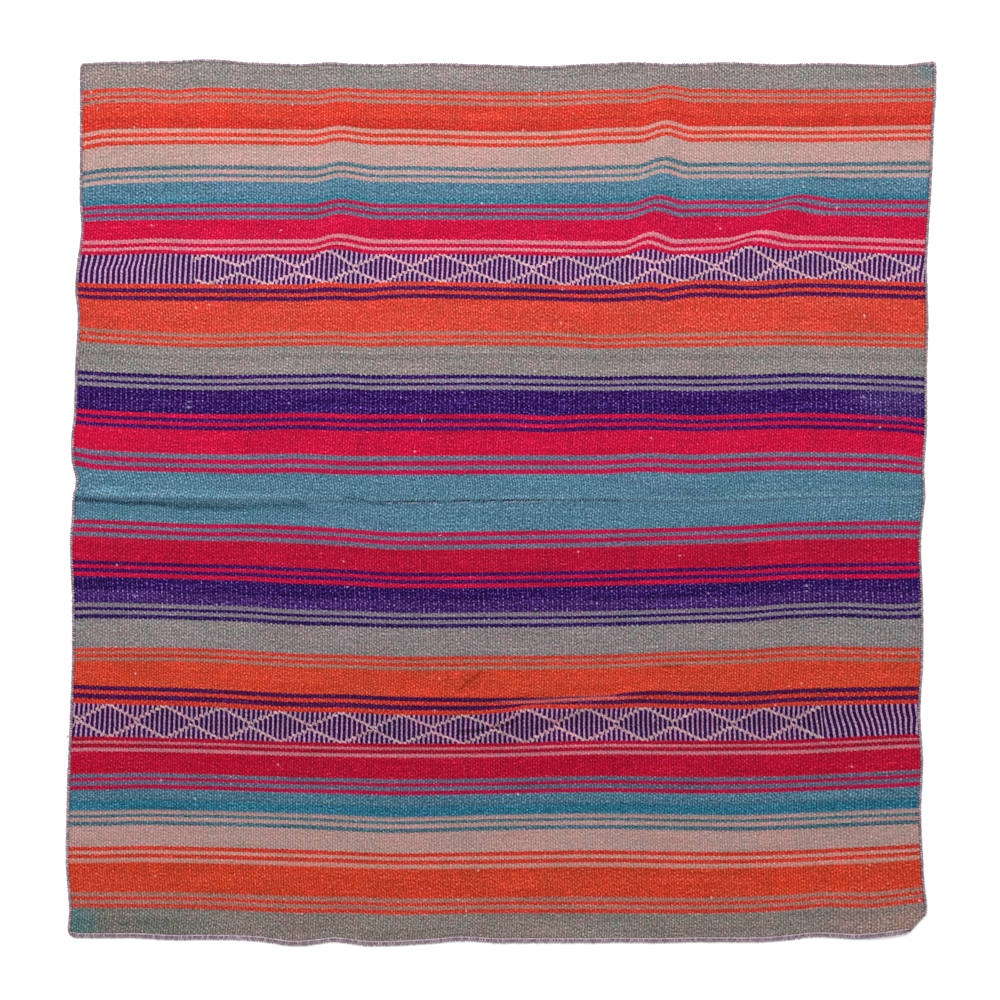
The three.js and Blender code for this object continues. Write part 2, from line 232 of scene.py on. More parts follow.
# Where a ripple stands, its threads bow up, and under its foot they dip. Half widths to the west and
# to the east, then rows of level, place along and rise
BOWS = (
    (42, 62, (130, -250, 0), (168, -250, 2), (258, -250, 2), (318, -262, 2.5), (348, -262, 5.5),
     (378, -252, 8.5), (408, -250, 7.8), (438, -248, 6.6), (498, -248, 6.6), (528, -250, 5.7),
     (558, -250, 4.6), (603, -250, 3.8), (648, -262, 2), (656, -262, 0)),
    (42, 42, (322, 222, 0), (348, 222, 4.8), (362, 222, 7), (378, 217, 11.5), (393, 222, 12.6),
     (408, 225, 11), (438, 228, 9), (468, 234, 8.8), (498, 237, 9.5), (528, 240, 9),
     (558, 240, 8.5), (588, 239, 6.5), (618, 236, 5.5), (648, 212, 2.8), (656, 212, 0)),
    (50, 60, (330, 400, 0), (348, 390, 1.5), (363, 374, 6), (378, 376, 10), (408, 400, 8),
     (438, 440, 8), (468, 460, 4), (490, 470, 0)),
    (18, 45, (235, 243, 0), (262, 243, -1.5), (300, 243, -3.5), (329, 243, -4), (345, 243, -1),
     (352, 243, 0)),
)
# Low swells that stay at one place along. Place and half width, then rows of level and rise
SWELLS = (
    (223, 75, (12, 0), (30, 2), (48, 3.4), (78, 2.6), (110, 1.5), (230, 1.2), (270, 1.2), (300, 0)),
    (73, 75, (75, 0), (95, -1.8), (107, -2.8), (143, -3), (168, -1), (185, 0)),
    (73, 75, (195, 0), (212, 0.9), (250, 1.5), (290, 1.5), (320, 0)),
    (73, 75, (500, 0), (535, -1.2), (575, -1.9), (615, -1.2), (645, 0)),
    (-376, 75, (6, 0), (35, -1.8), (65, -1), (150, -0.7), (175, 0)),
    (-376, 75, (-215, 0), (-180, 1), (-150, 1.4), (-112, 0.8), (-75, 1.5), (-40, 1.3), (-6, 0)),
    (-526, 75, (325, 0), (355, 1.8), (395, 2.3), (425, 0)),
    (-526, 75, (-600, 0), (-560, 1), (-440, 1.2), (-400, 0.8), (-375, 0)),
    (564, 50, (-650, 0), (-616, -2.6), (-560, -2), (-540, 0)),
    (486, 40, (-650, 0), (-616, 2.4), (-560, 1.2), (-540, 0)),
    (223, 60, (-360, 0), (-340, 1.5), (-300, 1.5), (-270, 0)),
    (523, 75, (-215, 0), (-195, 1.8), (-165, 2.2), (-150, 2), (-130, 0)),
    (-504, 50, (575, 0), (600, -3), (616, -4.5), (651, -1), (656, 0)),
)
# East of the slanting tuck the threads lie higher: how much, at nine places on the way across
TUCK_X = np.array([-60, -20, 20, 50, 90, 130, 170, 205, 240.0])
TUCK = table(
    "level w60 w20 e20 e50 e90 e130 e170 e205 e240",
    (-362, 0, 0, 0, 0, 0, 0, 0, 0, 0),
    (-340, -0.4, 0.4, 2.2, 5, 5, 5, 5, 5, 5),
    (-317.5, -1, 0.3, 3.8, 8.6, 9, 9, 9, 9, 9),
    (-311, -0.6, 0.2, 3.2, 7.9, 9, 9, 9, 9, 9),
    (-305, -0.2, 0, 1.6, 4.1, 7, 9, 9, 9, 9),
    (-298.5, 0, 0, 0.6, 1.3, 3.3, 5.2, 6.4, 8.9, 10.5),
    (-293, 0, 0, 0.3, 0.6, 1.3, 2.4, 4, 8, 10.2),
    (-280, 0, 0, 0, 0.3, 0.8, 1.8, 3.4, 6.4, 8),
    (-252, 0, 0, 0, 0, 0.5, 1, 1.8, 2.6, 3.5),
    (-222, 0, 0, 0, 0, 0, 0, 0, 0, 0),
)
# How round each corner is: side of the panel and left or right
CORNER_ROUND = {(1, "left"): 7, (1, "right"): 4, (-1, "left"): 15, (-1, "right"): 4}


def bow(level, x):
    """How far the ripples, the swells and the tuck push a thread, for each level and place"""
    steady = [(half, half, *((at, place, rise) for at, rise in rows)) for place, half, *rows in SWELLS]
    total = np.zeros((len(level), len(x)))
    for west, east, *rows in (*BOWS, *steady):
        levels, places, rises = np.array(rows, float).T
        top = np.interp(level, levels, places)[:, None]
        rise = np.interp(level, levels, rises, left=0, right=0)[:, None]
        half = np.where(x[None] < top, west, east)
        total += rise * ease(1 - np.abs(x[None] - top) / half)
    lifts = np.array([TUCK[name] for name in TUCK if name != "level"])
    return total + through(TUCK["level"], through(TUCK_X, lifts, x).T, level)


def rounding(side, x, level):
    """Draws the square corners of a panel in to round ones"""
    radius = np.where(x < 0, CORNER_ROUND[side, "left"], CORNER_ROUND[side, "right"])[None]
    a = np.clip(1 - (HALF_X - np.abs(x)) / radius, 0, 1)
    b = np.clip(1 - (REACH[side] - side * level)[:, None] / radius, 0, 1)
    slack = 1 - np.maximum(a, b) / np.maximum(np.hypot(a, b), 1e-6)
    return -np.sign(x)[None] * radius * a * slack, -side * radius * b * slack


def lay(side, x, level):
    """Places on the floor of a panel's threads: one row for each level, one column for each x"""
    own = COURSES["level"] * side > 0
    strays = np.array([COURSES[name] for name in COURSES if name != "level"])[:, own]
    strays = through(COURSE_X, strays, x).T
    seam = through(ACROSS["x"], ACROSS["seam"], x) - SEAM
    edge = through(ACROSS["x"], ACROSS["top" if side > 0 else "bottom"], x) - side * REACH[side]
    levels = np.concatenate(([SEAM], COURSES["level"][own], [side * REACH[side]]))
    strays = np.vstack((seam, strays, edge))
    order = np.argsort(levels)
    y = level[:, None] + through(levels[order], strays[order], level) + bow(level, x)
    left, right = (through(DOWN["y"], DOWN[k], level)[:, None] for k in ("left", "right"))
    x_shift, y_shift = rounding(side, x, level)
    return left + (right - left) * (x[None] + HALF_X) / (2 * HALF_X) + x_shift, y + y_shift


sample = lay(1, np.array([-600.0, 0.0, 600.0]), np.array([558.0]))
print("a thread of the upper panel, heights in mm:", sample[1].round(1))

# %% [markdown]
# ## The stripe chart
#
# The web has eleven wide stripes. Between two wide ones there are always four thin ones, which
# borrow the colour of their neighbours in turn, so the whole chart is eleven rows and one rule.
# The two halves were beaten a little differently, so each panel has its own widths. Every vertex
# keeps the place that its thread has on the loom, and one chart serves both panels.

# %% Wools
STUDIO = 1.15


def wool(red, green, blue, mottle=1.0):
    """A colour seen in the photo, as the linear colour that looks so under the studio light.
    The fourth number says how much the wool is mottled."""
    c = np.array([red, green, blue]) / 255
    linear = np.where(c <= 0.04045, c / 12.92, ((c + 0.055) / 1.055) ** 2.4) / STUDIO
    return (*linear.tolist(), mottle)


WOOLS = {
    "gray": wool(127, 119, 117, 0.63),
    "orange": wool(190, 54, 40, 0.58),
    "pink": wool(168, 137, 132, 0.42),
    "teal": wool(74, 112, 132, 0.68),
    "magenta": wool(181, 8, 54, 0.58),
    "purple": wool(40, 8, 82, 0.96),
    "taupe": wool(154, 108, 98, 0.5),
    "slate": wool(92, 97, 120, 0.55),
    "plum": wool(62, 10, 80, 0.65),
    "violet": wool(68, 13, 68, 0.65),
    "rose": wool(188, 116, 130, 0.4),
    "salmon": wool(184, 132, 122, 0.4),
    "petrol": wool(71, 103, 116, 0.65),
    "cerise": wool(168, 13, 64, 0.5),
    "dove": wool(122, 112, 122, 0.55),
}
BAND = "band"

# %% The chart
# Each wide stripe's outer and inner side, as distances from the middle: upper panel, lower panel
WIDE = (
    ("gray", 651, 616, 651, 616),
    ("orange", 594.5, 556, 592, 548.5),
    ("pink", 533, 502, 524, 491.5),
    ("teal", 479, 447.5, 468.5, 437),
    ("magenta", 424, 393.5, 413.5, 381.5),
    (BAND, 371.5, 329, 361.3, 318),
    ("orange", 304, 256.5, 293, 250.6),
    ("gray", 235, 191.5, 229.7, 187.5),
    ("purple", 169.2, 132.3, 164.5, 127),
    ("magenta", 107.7, 70.2, 104.3, 69.4),
    ("teal", 42.2, 2.5, 43, -2.5),
)
THIN_SHARES = (0.27, 0.26, 0.21, 0.26)
LOOM_EDGE = 660
BEFORE_BAND = "rose"
AFTER_BAND = "violet"

own_sides = {
    1: np.array([v for row in WIDE for v in row[1:3]]),
    -1: np.array([v for row in WIDE for v in row[3:5]]),
}
loom_sides = (own_sides[1] + own_sides[-1]) / 2


def on_loom(side, level):
    """The distance from the seam that a thread had on the loom"""
    own = np.concatenate(([REACH[side]], own_sides[side]))[::-1]
    loom = np.concatenate(([LOOM_EDGE], loom_sides))[::-1]
    return np.interp(side * level, own, loom)


# Beside some neighbours a wool comes from another lot
THIN_LOTS = {
    ("gray", "orange"): "taupe", ("teal", "magenta"): "slate", ("purple", "magenta"): "plum",
    ("pink", "orange"): "salmon", ("teal", "pink"): "petrol", ("magenta", "teal"): "cerise",
    ("gray", "purple"): "dove",
}


def thin_colour(name, neighbour, band_colour):
    """The wool of a thin stripe"""
    return band_colour if name == BAND else THIN_LOTS.get((name, neighbour), name)


def chart():
    """All stripes from the outer edge to the seam: wool and where it starts on the loom"""
    stripes = []
    for k, row in enumerate(WIDE):
        stripes.append((row[0], loom_sides[2 * k]))
        if k + 1 == len(WIDE):
            break
        here, after = row[0], WIDE[k + 1][0]
        band_colour = BEFORE_BAND if after == BAND else AFTER_BAND
        place = loom_sides[2 * k + 1]
        width = place - loom_sides[2 * k + 2]
        for n, share in enumerate(THIN_SHARES):
            pair = (after, here) if n % 2 == 0 else (here, after)
            stripes.append((thin_colour(*pair, band_colour), place))
            place -= share * width
    return stripes


STRIPES = chart()
BAND_OUTER, BAND_INNER = loom_sides[10], loom_sides[11]
print("stripes in the chart:", len(STRIPES), "band from", BAND_OUTER, "to", BAND_INNER)

# %% [markdown]
# The lattice of diamonds was picked by hand while the warp was on the loom, so no two diamonds
# are the same length. The chart lists where the lines cross. Between two crossings a vertex
# counts from one whole number to the next, and the pattern nodes only have to read that count.

# %% Diamonds
CROSSINGS = {
    1: (-394, -307, -220, -134, -45, 49, 141, 230, 321, 418, 520, 621),
    -1: (-632, -546, -463, -376, -286, -192, -103, -10, 84, 172, 258, 348, 438, 527),
}
# How far the two lines stay apart at each crossing, as a share of the band's width
APART = {
    1: (0.25, 0.19, 0.12, 0.13, 0.14, 0.14, 0.14, 0.19, 0.09, 0.02, 0.04, 0.0),
    -1: (0.05, 0.11, 0.13, 0.11, 0.11, 0.06, 0.17, 0.09, 0.14, 0.14, 0.17, 0.11, 0.14, 0.14),
}
LATTICE = {1: (-460, 626), -1: (-700, 482)}


def diamond_count(side, x):
    """Whole numbers at the crossings, running on evenly beyond the last ones"""
    places = np.array(CROSSINGS[side], float)
    mean = (places[-1] - places[0]) / (len(places) - 1)
    places = np.concatenate(([places[0] - mean], places, [places[-1] + mean]))
    return np.interp(x, places, np.arange(len(places)))


print("diamonds:", {side: len(places) - 1 for side, places in CROSSINGS.items()})

# %% [markdown]
# ## The cloth
#
# A panel is one closed thin sheet. Its upper face has a vertex about every 3.5 mm, enough for all
# ripples, and closer ones at the edges, where the cloth gets thinner under the overcast yarn.
# The underside needs only every second vertex. Weave is far finer than this grid, so it is left
# to the material.

# %% Grid places
STEP = 3.6
EDGE_STEPS = (0, 0.7, 1.6, 3, 5)
EDGE_ROOM = 8
CORNER_STEP = 1.25
CORNER = 40
SHEET_INSET = 1.9


def places_between(low, high, step):
    """Even places, closer at both ends, an odd number of them so that every second can be taken"""
    ends = np.array(EDGE_STEPS)
    count = max(2, int((high - low - 2 * EDGE_ROOM) / step))
    inner = np.linspace(low + EDGE_ROOM, high - EDGE_ROOM, count)
    places = np.concatenate((low + ends, inner, high - ends[::-1]))
    return places if len(places) % 2 else np.delete(places, len(places) // 2)


def with_fine_end(places, start, step):
    """The same places with a finer run from start to the last one"""
    last = places[-1] - np.array(EDGE_STEPS[:2])[::-1]
    fine = np.arange(start, places[-1] - 1, step)
    joined = np.concatenate((places[places < start - step], fine, last))
    return joined if len(joined) % 2 else np.delete(joined, len(EDGE_STEPS))


all_x = places_between(-HALF_X + SHEET_INSET, HALF_X - SHEET_INSET, STEP)
grid_x = {1: all_x, -1: with_fine_end(all_x, HALF_X - CORNER, CORNER_STEP)}
grid_level = {
    1: places_between(SEAM + GAP / 2, REACH[1] - SHEET_INSET, STEP),
    -1: -with_fine_end(places_between(-SEAM + GAP / 2, REACH[-1] - SHEET_INSET, STEP),
                       REACH[-1] - CORNER, CORNER_STEP),
}
print("grid:", {side: (len(grid_x[side]), len(grid_level[side])) for side in (1, -1)})

# %% Thickness
SHEET_THICK = 2.2
THIN_EDGE = 1.3
EDGE_RAISE = 1.2
SQUEEZE = 7
UNEVEN = 0.35
OVER_FLOOR = 0.1
SEAM_ROUND = 2.5
SEAM_DIP = 0.6


def uneven(x, y):
    """A slow unevenness of the cloth from 0 to 1, from a few crossing waves"""
    waves = np.sin(x / 23 + 1.3 * np.sin(y / 61)) * np.sin(y / 19 + 0.8 * np.sin(x / 47))
    return 0.5 + 0.25 * waves + 0.25 * np.sin(x / 71 + y / 53)


def faces_of_cloth(side, x, level, px, py):
    """Heights of the underside and the upper face"""
    to_side = HALF_X - np.abs(x)[None]
    to_edge = (REACH[side] - side * level)[:, None]
    squeeze = ease(1 - (np.minimum(to_side, to_edge) - SHEET_INSET) / SQUEEZE)
    dip = ease(1 - side * (level - SEAM) / SEAM_ROUND)[:, None]
    ground = lift(px, py) + OVER_FLOOR
    under = ground + EDGE_RAISE * squeeze + UNEVEN * uneven(px, py) * (1 - squeeze)
    thick = SHEET_THICK - (SHEET_THICK - THIN_EDGE) * squeeze - SEAM_DIP * dip
    return under + OVER_FLOOR * dip, under + thick


# %% [markdown]
# The lower right corner is folded under. The sheet is first laid flat, then everything past the
# fold is wound round a tight half turn and laid underneath. The turn's radius comes from the two
# layers: half the distance between their middles.

# %% The folded corner
TURN = (CLOTH + GAP) / 2
TURN_MIDDLE = CLOTH / 2 + TURN
FOLD_INSET = TURN + CLOTH / 2
OFF_FLOOR = 0.05


def turn_under(px, py, z):
    """Bends what lies beyond the fold line round a half turn and back under the cloth"""
    d = inside_fold(px, py)
    past = FOLD_INSET - d
    above = z - (TURN_MIDDLE + TURN)
    angle = np.clip(past / TURN, 0, np.pi)
    beyond = np.maximum(past - np.pi * TURN, 0)
    moved = np.where(past > 0, FOLD_INSET - (TURN + above) * np.sin(angle) + beyond - d, 0)
    new_z = np.where(past > 0, TURN_MIDDLE + (TURN + above) * np.cos(angle), z)
    return px + moved * FOLD_ALONG[1], py - moved * FOLD_ALONG[0], np.maximum(new_z, OFF_FLOOR)


# %% [markdown]
# Stains and dye lots are part of how this blanket looks: a teal stain at the lower left corner,
# a few stripes spun from two lots of wool. A few rows of the two lists are painted light and shade
# instead: a painted highlight along the seam and on the lit edge of the tuck, and painted shade along
# a crease. They are painted on the vertices as a colour and a strength, from two short lists. The
# material breaks their borders up with noise.

# %% Stains, dye lots and painted light
# Side, outer and inner distance from the middle, colour, strength
DYE_LOTS_AND_SEAM_LIGHT = (
    (1, 456, 447, wool(40, 103, 124), 0.9),
    (-1, 469, 454, wool(30, 104, 128), 0.85),
    (1, 571, 557, wool(184, 42, 34), 0.75),
    (1, 286, 273, wool(178, 46, 37), 0.5),
    (1, 222, 216, wool(104, 97, 97), 0.5),
    (-1, 164.5, 147, wool(64, 31, 100), 0.8),
    (-1, 103.5, 68.5, wool(156, 8, 42), 0.6),
    (-1, 413.5, 381.5, wool(152, 6, 36), 0.4),
    (-1, 377, 370, wool(134, 0, 30), 0.6),
    (-1, 367, 361, wool(134, 0, 30), 0.6),
    (-1, 229.7, 187.5, wool(130, 121, 126), 0.5),
    (-1, 652, 615, wool(128, 112, 102), 0.4),
    (-1, 592, 548.5, wool(192, 66, 34), 0.5),
    (-1, 293, 250.6, wool(196, 70, 42), 0.5),
    (1, 304, 256.5, wool(194, 66, 52), 0.5),
    # Painted highlight: a lighter teal along the raised edge of the upper panel at the seam
    (1, 12, 5, wool(90, 127, 143), 0.4),
)
# Place, half sizes, how far from the middle they begin, colour, strength
STAINS_AND_PAINTED_LIGHT = (
    (-560, -636, 150, 40, 614, wool(88, 96, 90), 0.5),
    (-645, -632, 45, 40, 614, wool(66, 110, 112), 0.75),
    (645, 650, 24, 18, 0, wool(90, 116, 120), 0.7),
    (-560, 640, 90, 17, 614, wool(143, 120, 115), 0.5),
    (610, -636, 110, 30, 612, wool(158, 122, 112), 0.5),
    # Painted shade along a crease in the orange
    (-46, -268, 14, 16, 0, wool(153, 46, 40), 0.25),
    # Painted highlight on the lit edge of the tuck, in three pieces
    (45, -299, 50, 2.6, 0, wool(222, 116, 108), 0.5),
    (100, -295.5, 45, 2.6, 0, wool(222, 116, 108), 0.5),
    (160, -292.5, 50, 2.6, 0, wool(222, 116, 108), 0.5),
    (590, 150, 60, 30, 0, wool(75, 50, 113), 0.5),
)


def paint(side, level, px, py):
    """Colour and strength of the stains, dye lots and painted light and shade at each vertex"""
    colour = np.zeros(px.shape + (4,))

    def over(new, strength):
        share = strength / np.maximum(strength + colour[..., 3] * (1 - strength), 1e-6)
        colour[..., :3] += (np.array(new[:3]) - colour[..., :3]) * share[..., None]
        colour[..., 3] += strength * (1 - colour[..., 3])

    for own, outer, inner, new, strength in DYE_LOTS_AND_SEAM_LIGHT:
        if own == side:
            over(new, strength * between((side * level)[:, None] + 0 * px, inner, outer, 3))
    for x, y, half_x, half_y, start, new, strength in STAINS_AND_PAINTED_LIGHT:
        far = np.hypot((px - x) / half_x, (py - y) / half_y)
        beyond = ease((side * level - start) / 4 + 0.5)[:, None]
        over(new, strength * ease(1.3 - far) * beyond * (py * side > 0))
    return colour


# %% [markdown]
# Painted light and shade is brightness that is added to or taken from the cloth's colour: painted
# shading of the ripples, painted highlights on ridges, folds and wrinkles, painted shade in the
# creases, in the gaps of the seam and under the edging yarn, most of the lower panel a little
# darker, and a few changes of a stripe's tone. Toward some ends of the band the picks lean or lie
# wider apart, because no diamonds hold them there.

# %% Painted light and shade, and leaning picks
# Painted light and shade: painted highlights on ridges, folds and wrinkles, painted shade along the
# seam fold, most of the lower panel a little darker, and a few changes of a stripe's tone
# Along, level, half sizes, brightness that is added or taken
SHADES = (
    (-620, 330, 190, 420, -0.03),
    (-592, 16, 46, 6, 0.3),
    (-500, -4, 170, 15, -0.12),
    (-130, 0, 70, 9, -0.1),
    (-35, -334, 40, 9, 0.12),
    (0, -400, 3000, 560, -0.10),
    (0, -334, 3000, 27, -0.12),
    (180, -368, 260, 10, 0.16),
    (390, 9, 170, 3.2, 0.16),
    (-430, 12, 170, 3.2, 0.12),
    (-55, 152, 12, 22, 0.10),
    (15, 150, 10, 20, 0.08),
    (95, 150, 14, 20, 0.10),
)
# Along, half width, lean at the outer and inner side of the band in mm
LEANS = {
    1: ((-579, 80, -4.5, -1), (640, 120, -2, 3)),
    -1: ((548, 110, -4, 5), (632, 60, 2.5, 2), (-640, 60, 2, -2)),
}
# Towards one end of each panel the picks lie wider apart: from where on, and by what share
WIDER = {1: (-440, 0.085), -1: (480, 0.15)}
# Creases, with painted shade in them: a path over the floor, half width, how dark the painted shade is
CREASES = (
    (((-640, 7), (-616, 2), (-596, 2.5), (-561, -2), (-524, -1.5), (-507, -4)), 5.5, 0.5),
    (((-638, 6), (-600, 3)), 3.5, 0.65),
    (((-572, -1), (-528, -1)), 3.5, 0.65),
    (((-507, -4), (-471, -8), (-447, -6.5), (-421, -10), (-387, -9)), 8, 0.36),
    (((-400, -9), (-345, -5), (-296, -4)), 9, 0.24),
    (((-235, 8), (-213, 5), (-190, -2), (-172, -2)), 3, 0.4),
    (((-65, -344), (-30, -342), (-12, -337)), 5, 0.7),
    (((-12, -337), (3, -334), (18, -328)), 5, 0.85),
    (((14, -330), (36, -321)), 7, 0.35),
    (((-216, -348), (-168, -346)), 7, 0.25),
    (((-62, -281), (-46, -268), (-30, -255)), 4, 0.3),
    (((243, -245), (270, -246)), 3, 0.4),
)
CREASE_DEEP = 1.0
# How open the seam is, along it, and how dark the painted shade in the gap then is
OPEN_SEAM = table(
    "x dark",
    (-640, 0), (-330, 0.1), (-195, 0.25), (-175, 0.8), (62, 0.9), (74, 0.3), (105, 0.3),
    (112, 0.8), (182, 0.8), (194, 0.05), (640, 0),
)
# Between the seam's stitches: how dark the painted shade in a shut gap is, how many are shut, how wide
# the gap is
SHUT_DARK = 0.35
SHUT_SHARE = 0.45
GAP_WIDE = 2.6
# How far the shadow of the edging reaches, and how dark it is
UNDER_YARN = {"side": 3.5, 1: 3, -1: 7}
UNDER_DARK = 0.5


def from_path(path, px, py):
    """How far each place is from a path"""
    far = np.full(px.shape, np.inf)
    for (x1, y1), (x2, y2) in zip(path[:-1], path[1:]):
        f = ((px - x1) * (x2 - x1) + (py - y1) * (y2 - y1)) / ((x2 - x1) ** 2 + (y2 - y1) ** 2)
        f = np.clip(f, 0, 1)
        far = np.minimum(far, np.hypot(px - x1 - f * (x2 - x1), py - y1 - f * (y2 - y1)))
    return far


def creased(px, py):
    """Depth of the creases from 0 to 1, and how much painted shade darkens them"""
    depth, dark = np.zeros(px.shape), np.zeros(px.shape)
    for path, half, strength in CREASES:
        here = ease(1 - from_path(path, px, py) / half)
        depth = np.maximum(depth, here)
        dark = np.maximum(dark, here * strength)
    return depth, dark


def painted_light_and_tone(side, x, level, px, py):
    """Painted light and shade at each place of a panel, and a few changes of tone, as brightness"""
    bright = np.ones(px.shape)
    for at_x, at_level, half_x, half_level, change in SHADES:
        far = np.hypot((x[None] - at_x) / half_x, (level[:, None] - at_level) / half_level)
        bright += change * ease(1 - far)
    # Painted shade in the creases
    bright *= 1 - creased(px, py)[1]
    # Painted shade in the gaps of the seam, as a row of dark dashes
    is_open = np.random.default_rng(6 + side).random(len(x)) > SHUT_SHARE
    gaps = np.where(is_open, 1, SHUT_DARK) * np.interp(x, OPEN_SEAM["x"], OPEN_SEAM["dark"])
    bright *= 1 - gaps[None] * ease(1.15 - side * (level - SEAM) / GAP_WIDE)[:, None]
    # Painted shadow of the edging yarn along the cloth's edges
    under = np.maximum(ease(1.3 - (HALF_X - np.abs(x)) / UNDER_YARN["side"])[None],
                       ease(1.3 - (REACH[side] - side * level) / UNDER_YARN[side])[:, None])
    return bright * (1 - UNDER_DARK * under)


def leaning(side, x, level):
    """How far the picks lean sidewards in the band, where no diamonds hold them upright"""
    depth = (on_loom(side, level) - BAND_INNER) / (BAND_OUTER - BAND_INNER)
    shift = np.zeros((len(level), len(x)))
    for at, half, outer, inner in LEANS[side]:
        strong = ease(1 - np.abs(x - at) / half)[None]
        inward = np.where(depth > 0.5, outer * np.sin(np.clip(depth - 0.5, 0, 1) * np.pi),
                          inner * np.sin(np.clip(0.5 - depth, 0, 1) * np.pi))
        shift += strong * inward[:, None]
    start, share = WIDER[side]
    beyond = np.maximum(np.sign(start) * (x - start), 0)
    return shift - np.sign(start) * share * beyond[None]


# %% Sheets
def around(grid):
    """The four sides of a grid, one after the other"""
    return grid[0], grid[:, -1], grid[-1, ::-1], grid[::-1, 0]


def closed_sheet(under, upper):
    """Vertices and faces of a sheet: the upper face fine, the underside at every second vertex"""
    coarse = under[::2, ::2]
    top = np.arange(upper[..., 0].size).reshape(upper.shape[:2])
    low = top.size + np.arange(coarse[..., 0].size).reshape(coarse.shape[:2])
    faces = []
    for grid in (top, low.T):
        quads = np.stack((grid[:-1, :-1], grid[:-1, 1:], grid[1:, 1:], grid[1:, :-1]), -1)
        faces += [tuple(quad) for quad in quads.reshape(-1, 4).tolist()]
    for fine, wide in zip(around(top), around(low)):
        for k in range(len(wide) - 1):
            faces.append((*wide[k:k + 2].tolist(), *fine[2 * k:2 * k + 3][::-1].tolist()))
    return np.vstack((upper.reshape(-1, 3), coarse.reshape(-1, 3))), faces


def new_object(name, vertices, faces):
    """A smooth mesh object from places in millimetres"""
    mesh = bpy.data.meshes.new(name)
    mesh.from_pydata((np.asarray(vertices) * MM).tolist(), [], faces)
    mesh.shade_smooth()
    return in_scene(name, mesh)


def set_values(mesh, name, values):
    """Stores one value or one colour for each vertex under a name"""
    kind, field = ("FLOAT_COLOR", "color") if np.ndim(values) == 2 else ("FLOAT", "value")
    layer = mesh.attributes.new(name, kind, "POINT")
    layer.data.foreach_set(field, np.asarray(values, np.float32).ravel())


def report(pieces):
    """Prints how many triangles each piece has"""
    for piece in pieces:
        piece.data.calc_loop_triangles()
        print(piece.name, "triangles:", len(piece.data.loop_triangles))


def cloth_panel(name, side):
    """One panel with its cloth places, its diamonds, its stains and its wear"""
    x, level = grid_x[side], grid_level[side]
    px, py = lay(side, x, level)
    under, upper = faces_of_cloth(side, x, level, px, py)
    upper -= CREASE_DEEP * creased(px, py)[0]
    skins = [(px, py, under), (px, py, upper)]
    if side < 0:
        skins = [turn_under(*skin) for skin in skins]
    vertices, faces = closed_sheet(*(np.stack(skin, -1) for skin in skins))
    if side < 0:
        faces = [face[::-1] for face in faces]
    piece = new_object(name, vertices, faces)

    def both(values):
        return np.concatenate([v.reshape(-1, *values.shape[2:]) for v in (values, values[::2, ::2])])

    along = side * (x[None] + leaning(side, x, level))
    web = np.stack(np.broadcast_arrays(along, on_loom(side, level)[:, None]), -1) * MM
    corner_of = np.empty(len(piece.data.loops), np.int32)
    piece.data.loops.foreach_get("vertex_index", corner_of)
    layer = piece.data.uv_layers.new(name="web")
    layer.uv.foreach_set("vector", both(web)[corner_of].astype(np.float32).ravel())
    stored = {
        "diamond": side * diamond_count(side, px),
        "apart": np.interp(px, CROSSINGS[side], APART[side]),
        "picked": between(px, *LATTICE[side], 4),
        "tint_and_painted_light": paint(side, level, px, py),
        "painted_light_and_tone": painted_light_and_tone(side, x, level, px, py),
    }
    for label, values in stored.items():
        set_values(piece.data, label, both(values))
    return piece


panel_upper = cloth_panel("cloth_upper", 1)
panel_lower = cloth_panel("cloth_lower", -1)
report((panel_upper, panel_lower))

# %% [markdown]
# ## Nodes
#
# The materials are wired by a small helper, so that one line adds one node. What comes out of a
# node can be added, multiplied and compared like a number, and each such step is one more node.
# The weave is made for both panels in one group: it finds out which thread float a point of the
# surface lies on. In this weave the warp hides the weft. On one pick the even threads show, on the
# next pick the odd ones, so the floats lie like bricks.

# %% Signals
def step(operation):
    """One step of arithmetic on a signal, alone or with other values"""
    return lambda signal, *others: signal.wires.math(operation, signal, *others)


class Signal:
    """What comes out of a node, to be worked on like a number"""

    def __init__(self, wires, socket):
        self.wires = wires
        self.socket = socket

    def __rsub__(self, other):
        return self.wires.math("SUBTRACT", other, self)

    def held(self):
        """The same signal, held between 0 and 1"""
        self.socket.node.use_clamp = True
        return self

    __add__ = step("ADD")
    __sub__ = step("SUBTRACT")
    __mul__ = step("MULTIPLY")
    __truediv__ = step("DIVIDE")
    __mod__ = step("FLOORED_MODULO")
    __lt__ = step("LESS_THAN")
    __gt__ = step("GREATER_THAN")
    at_least = step("MAXIMUM")
    at_most = step("MINIMUM")
    near = step("COMPARE")
    floor = step("FLOOR")
    fraction = step("FRACT")
    size = step("ABSOLUTE")
    root = step("SQRT")


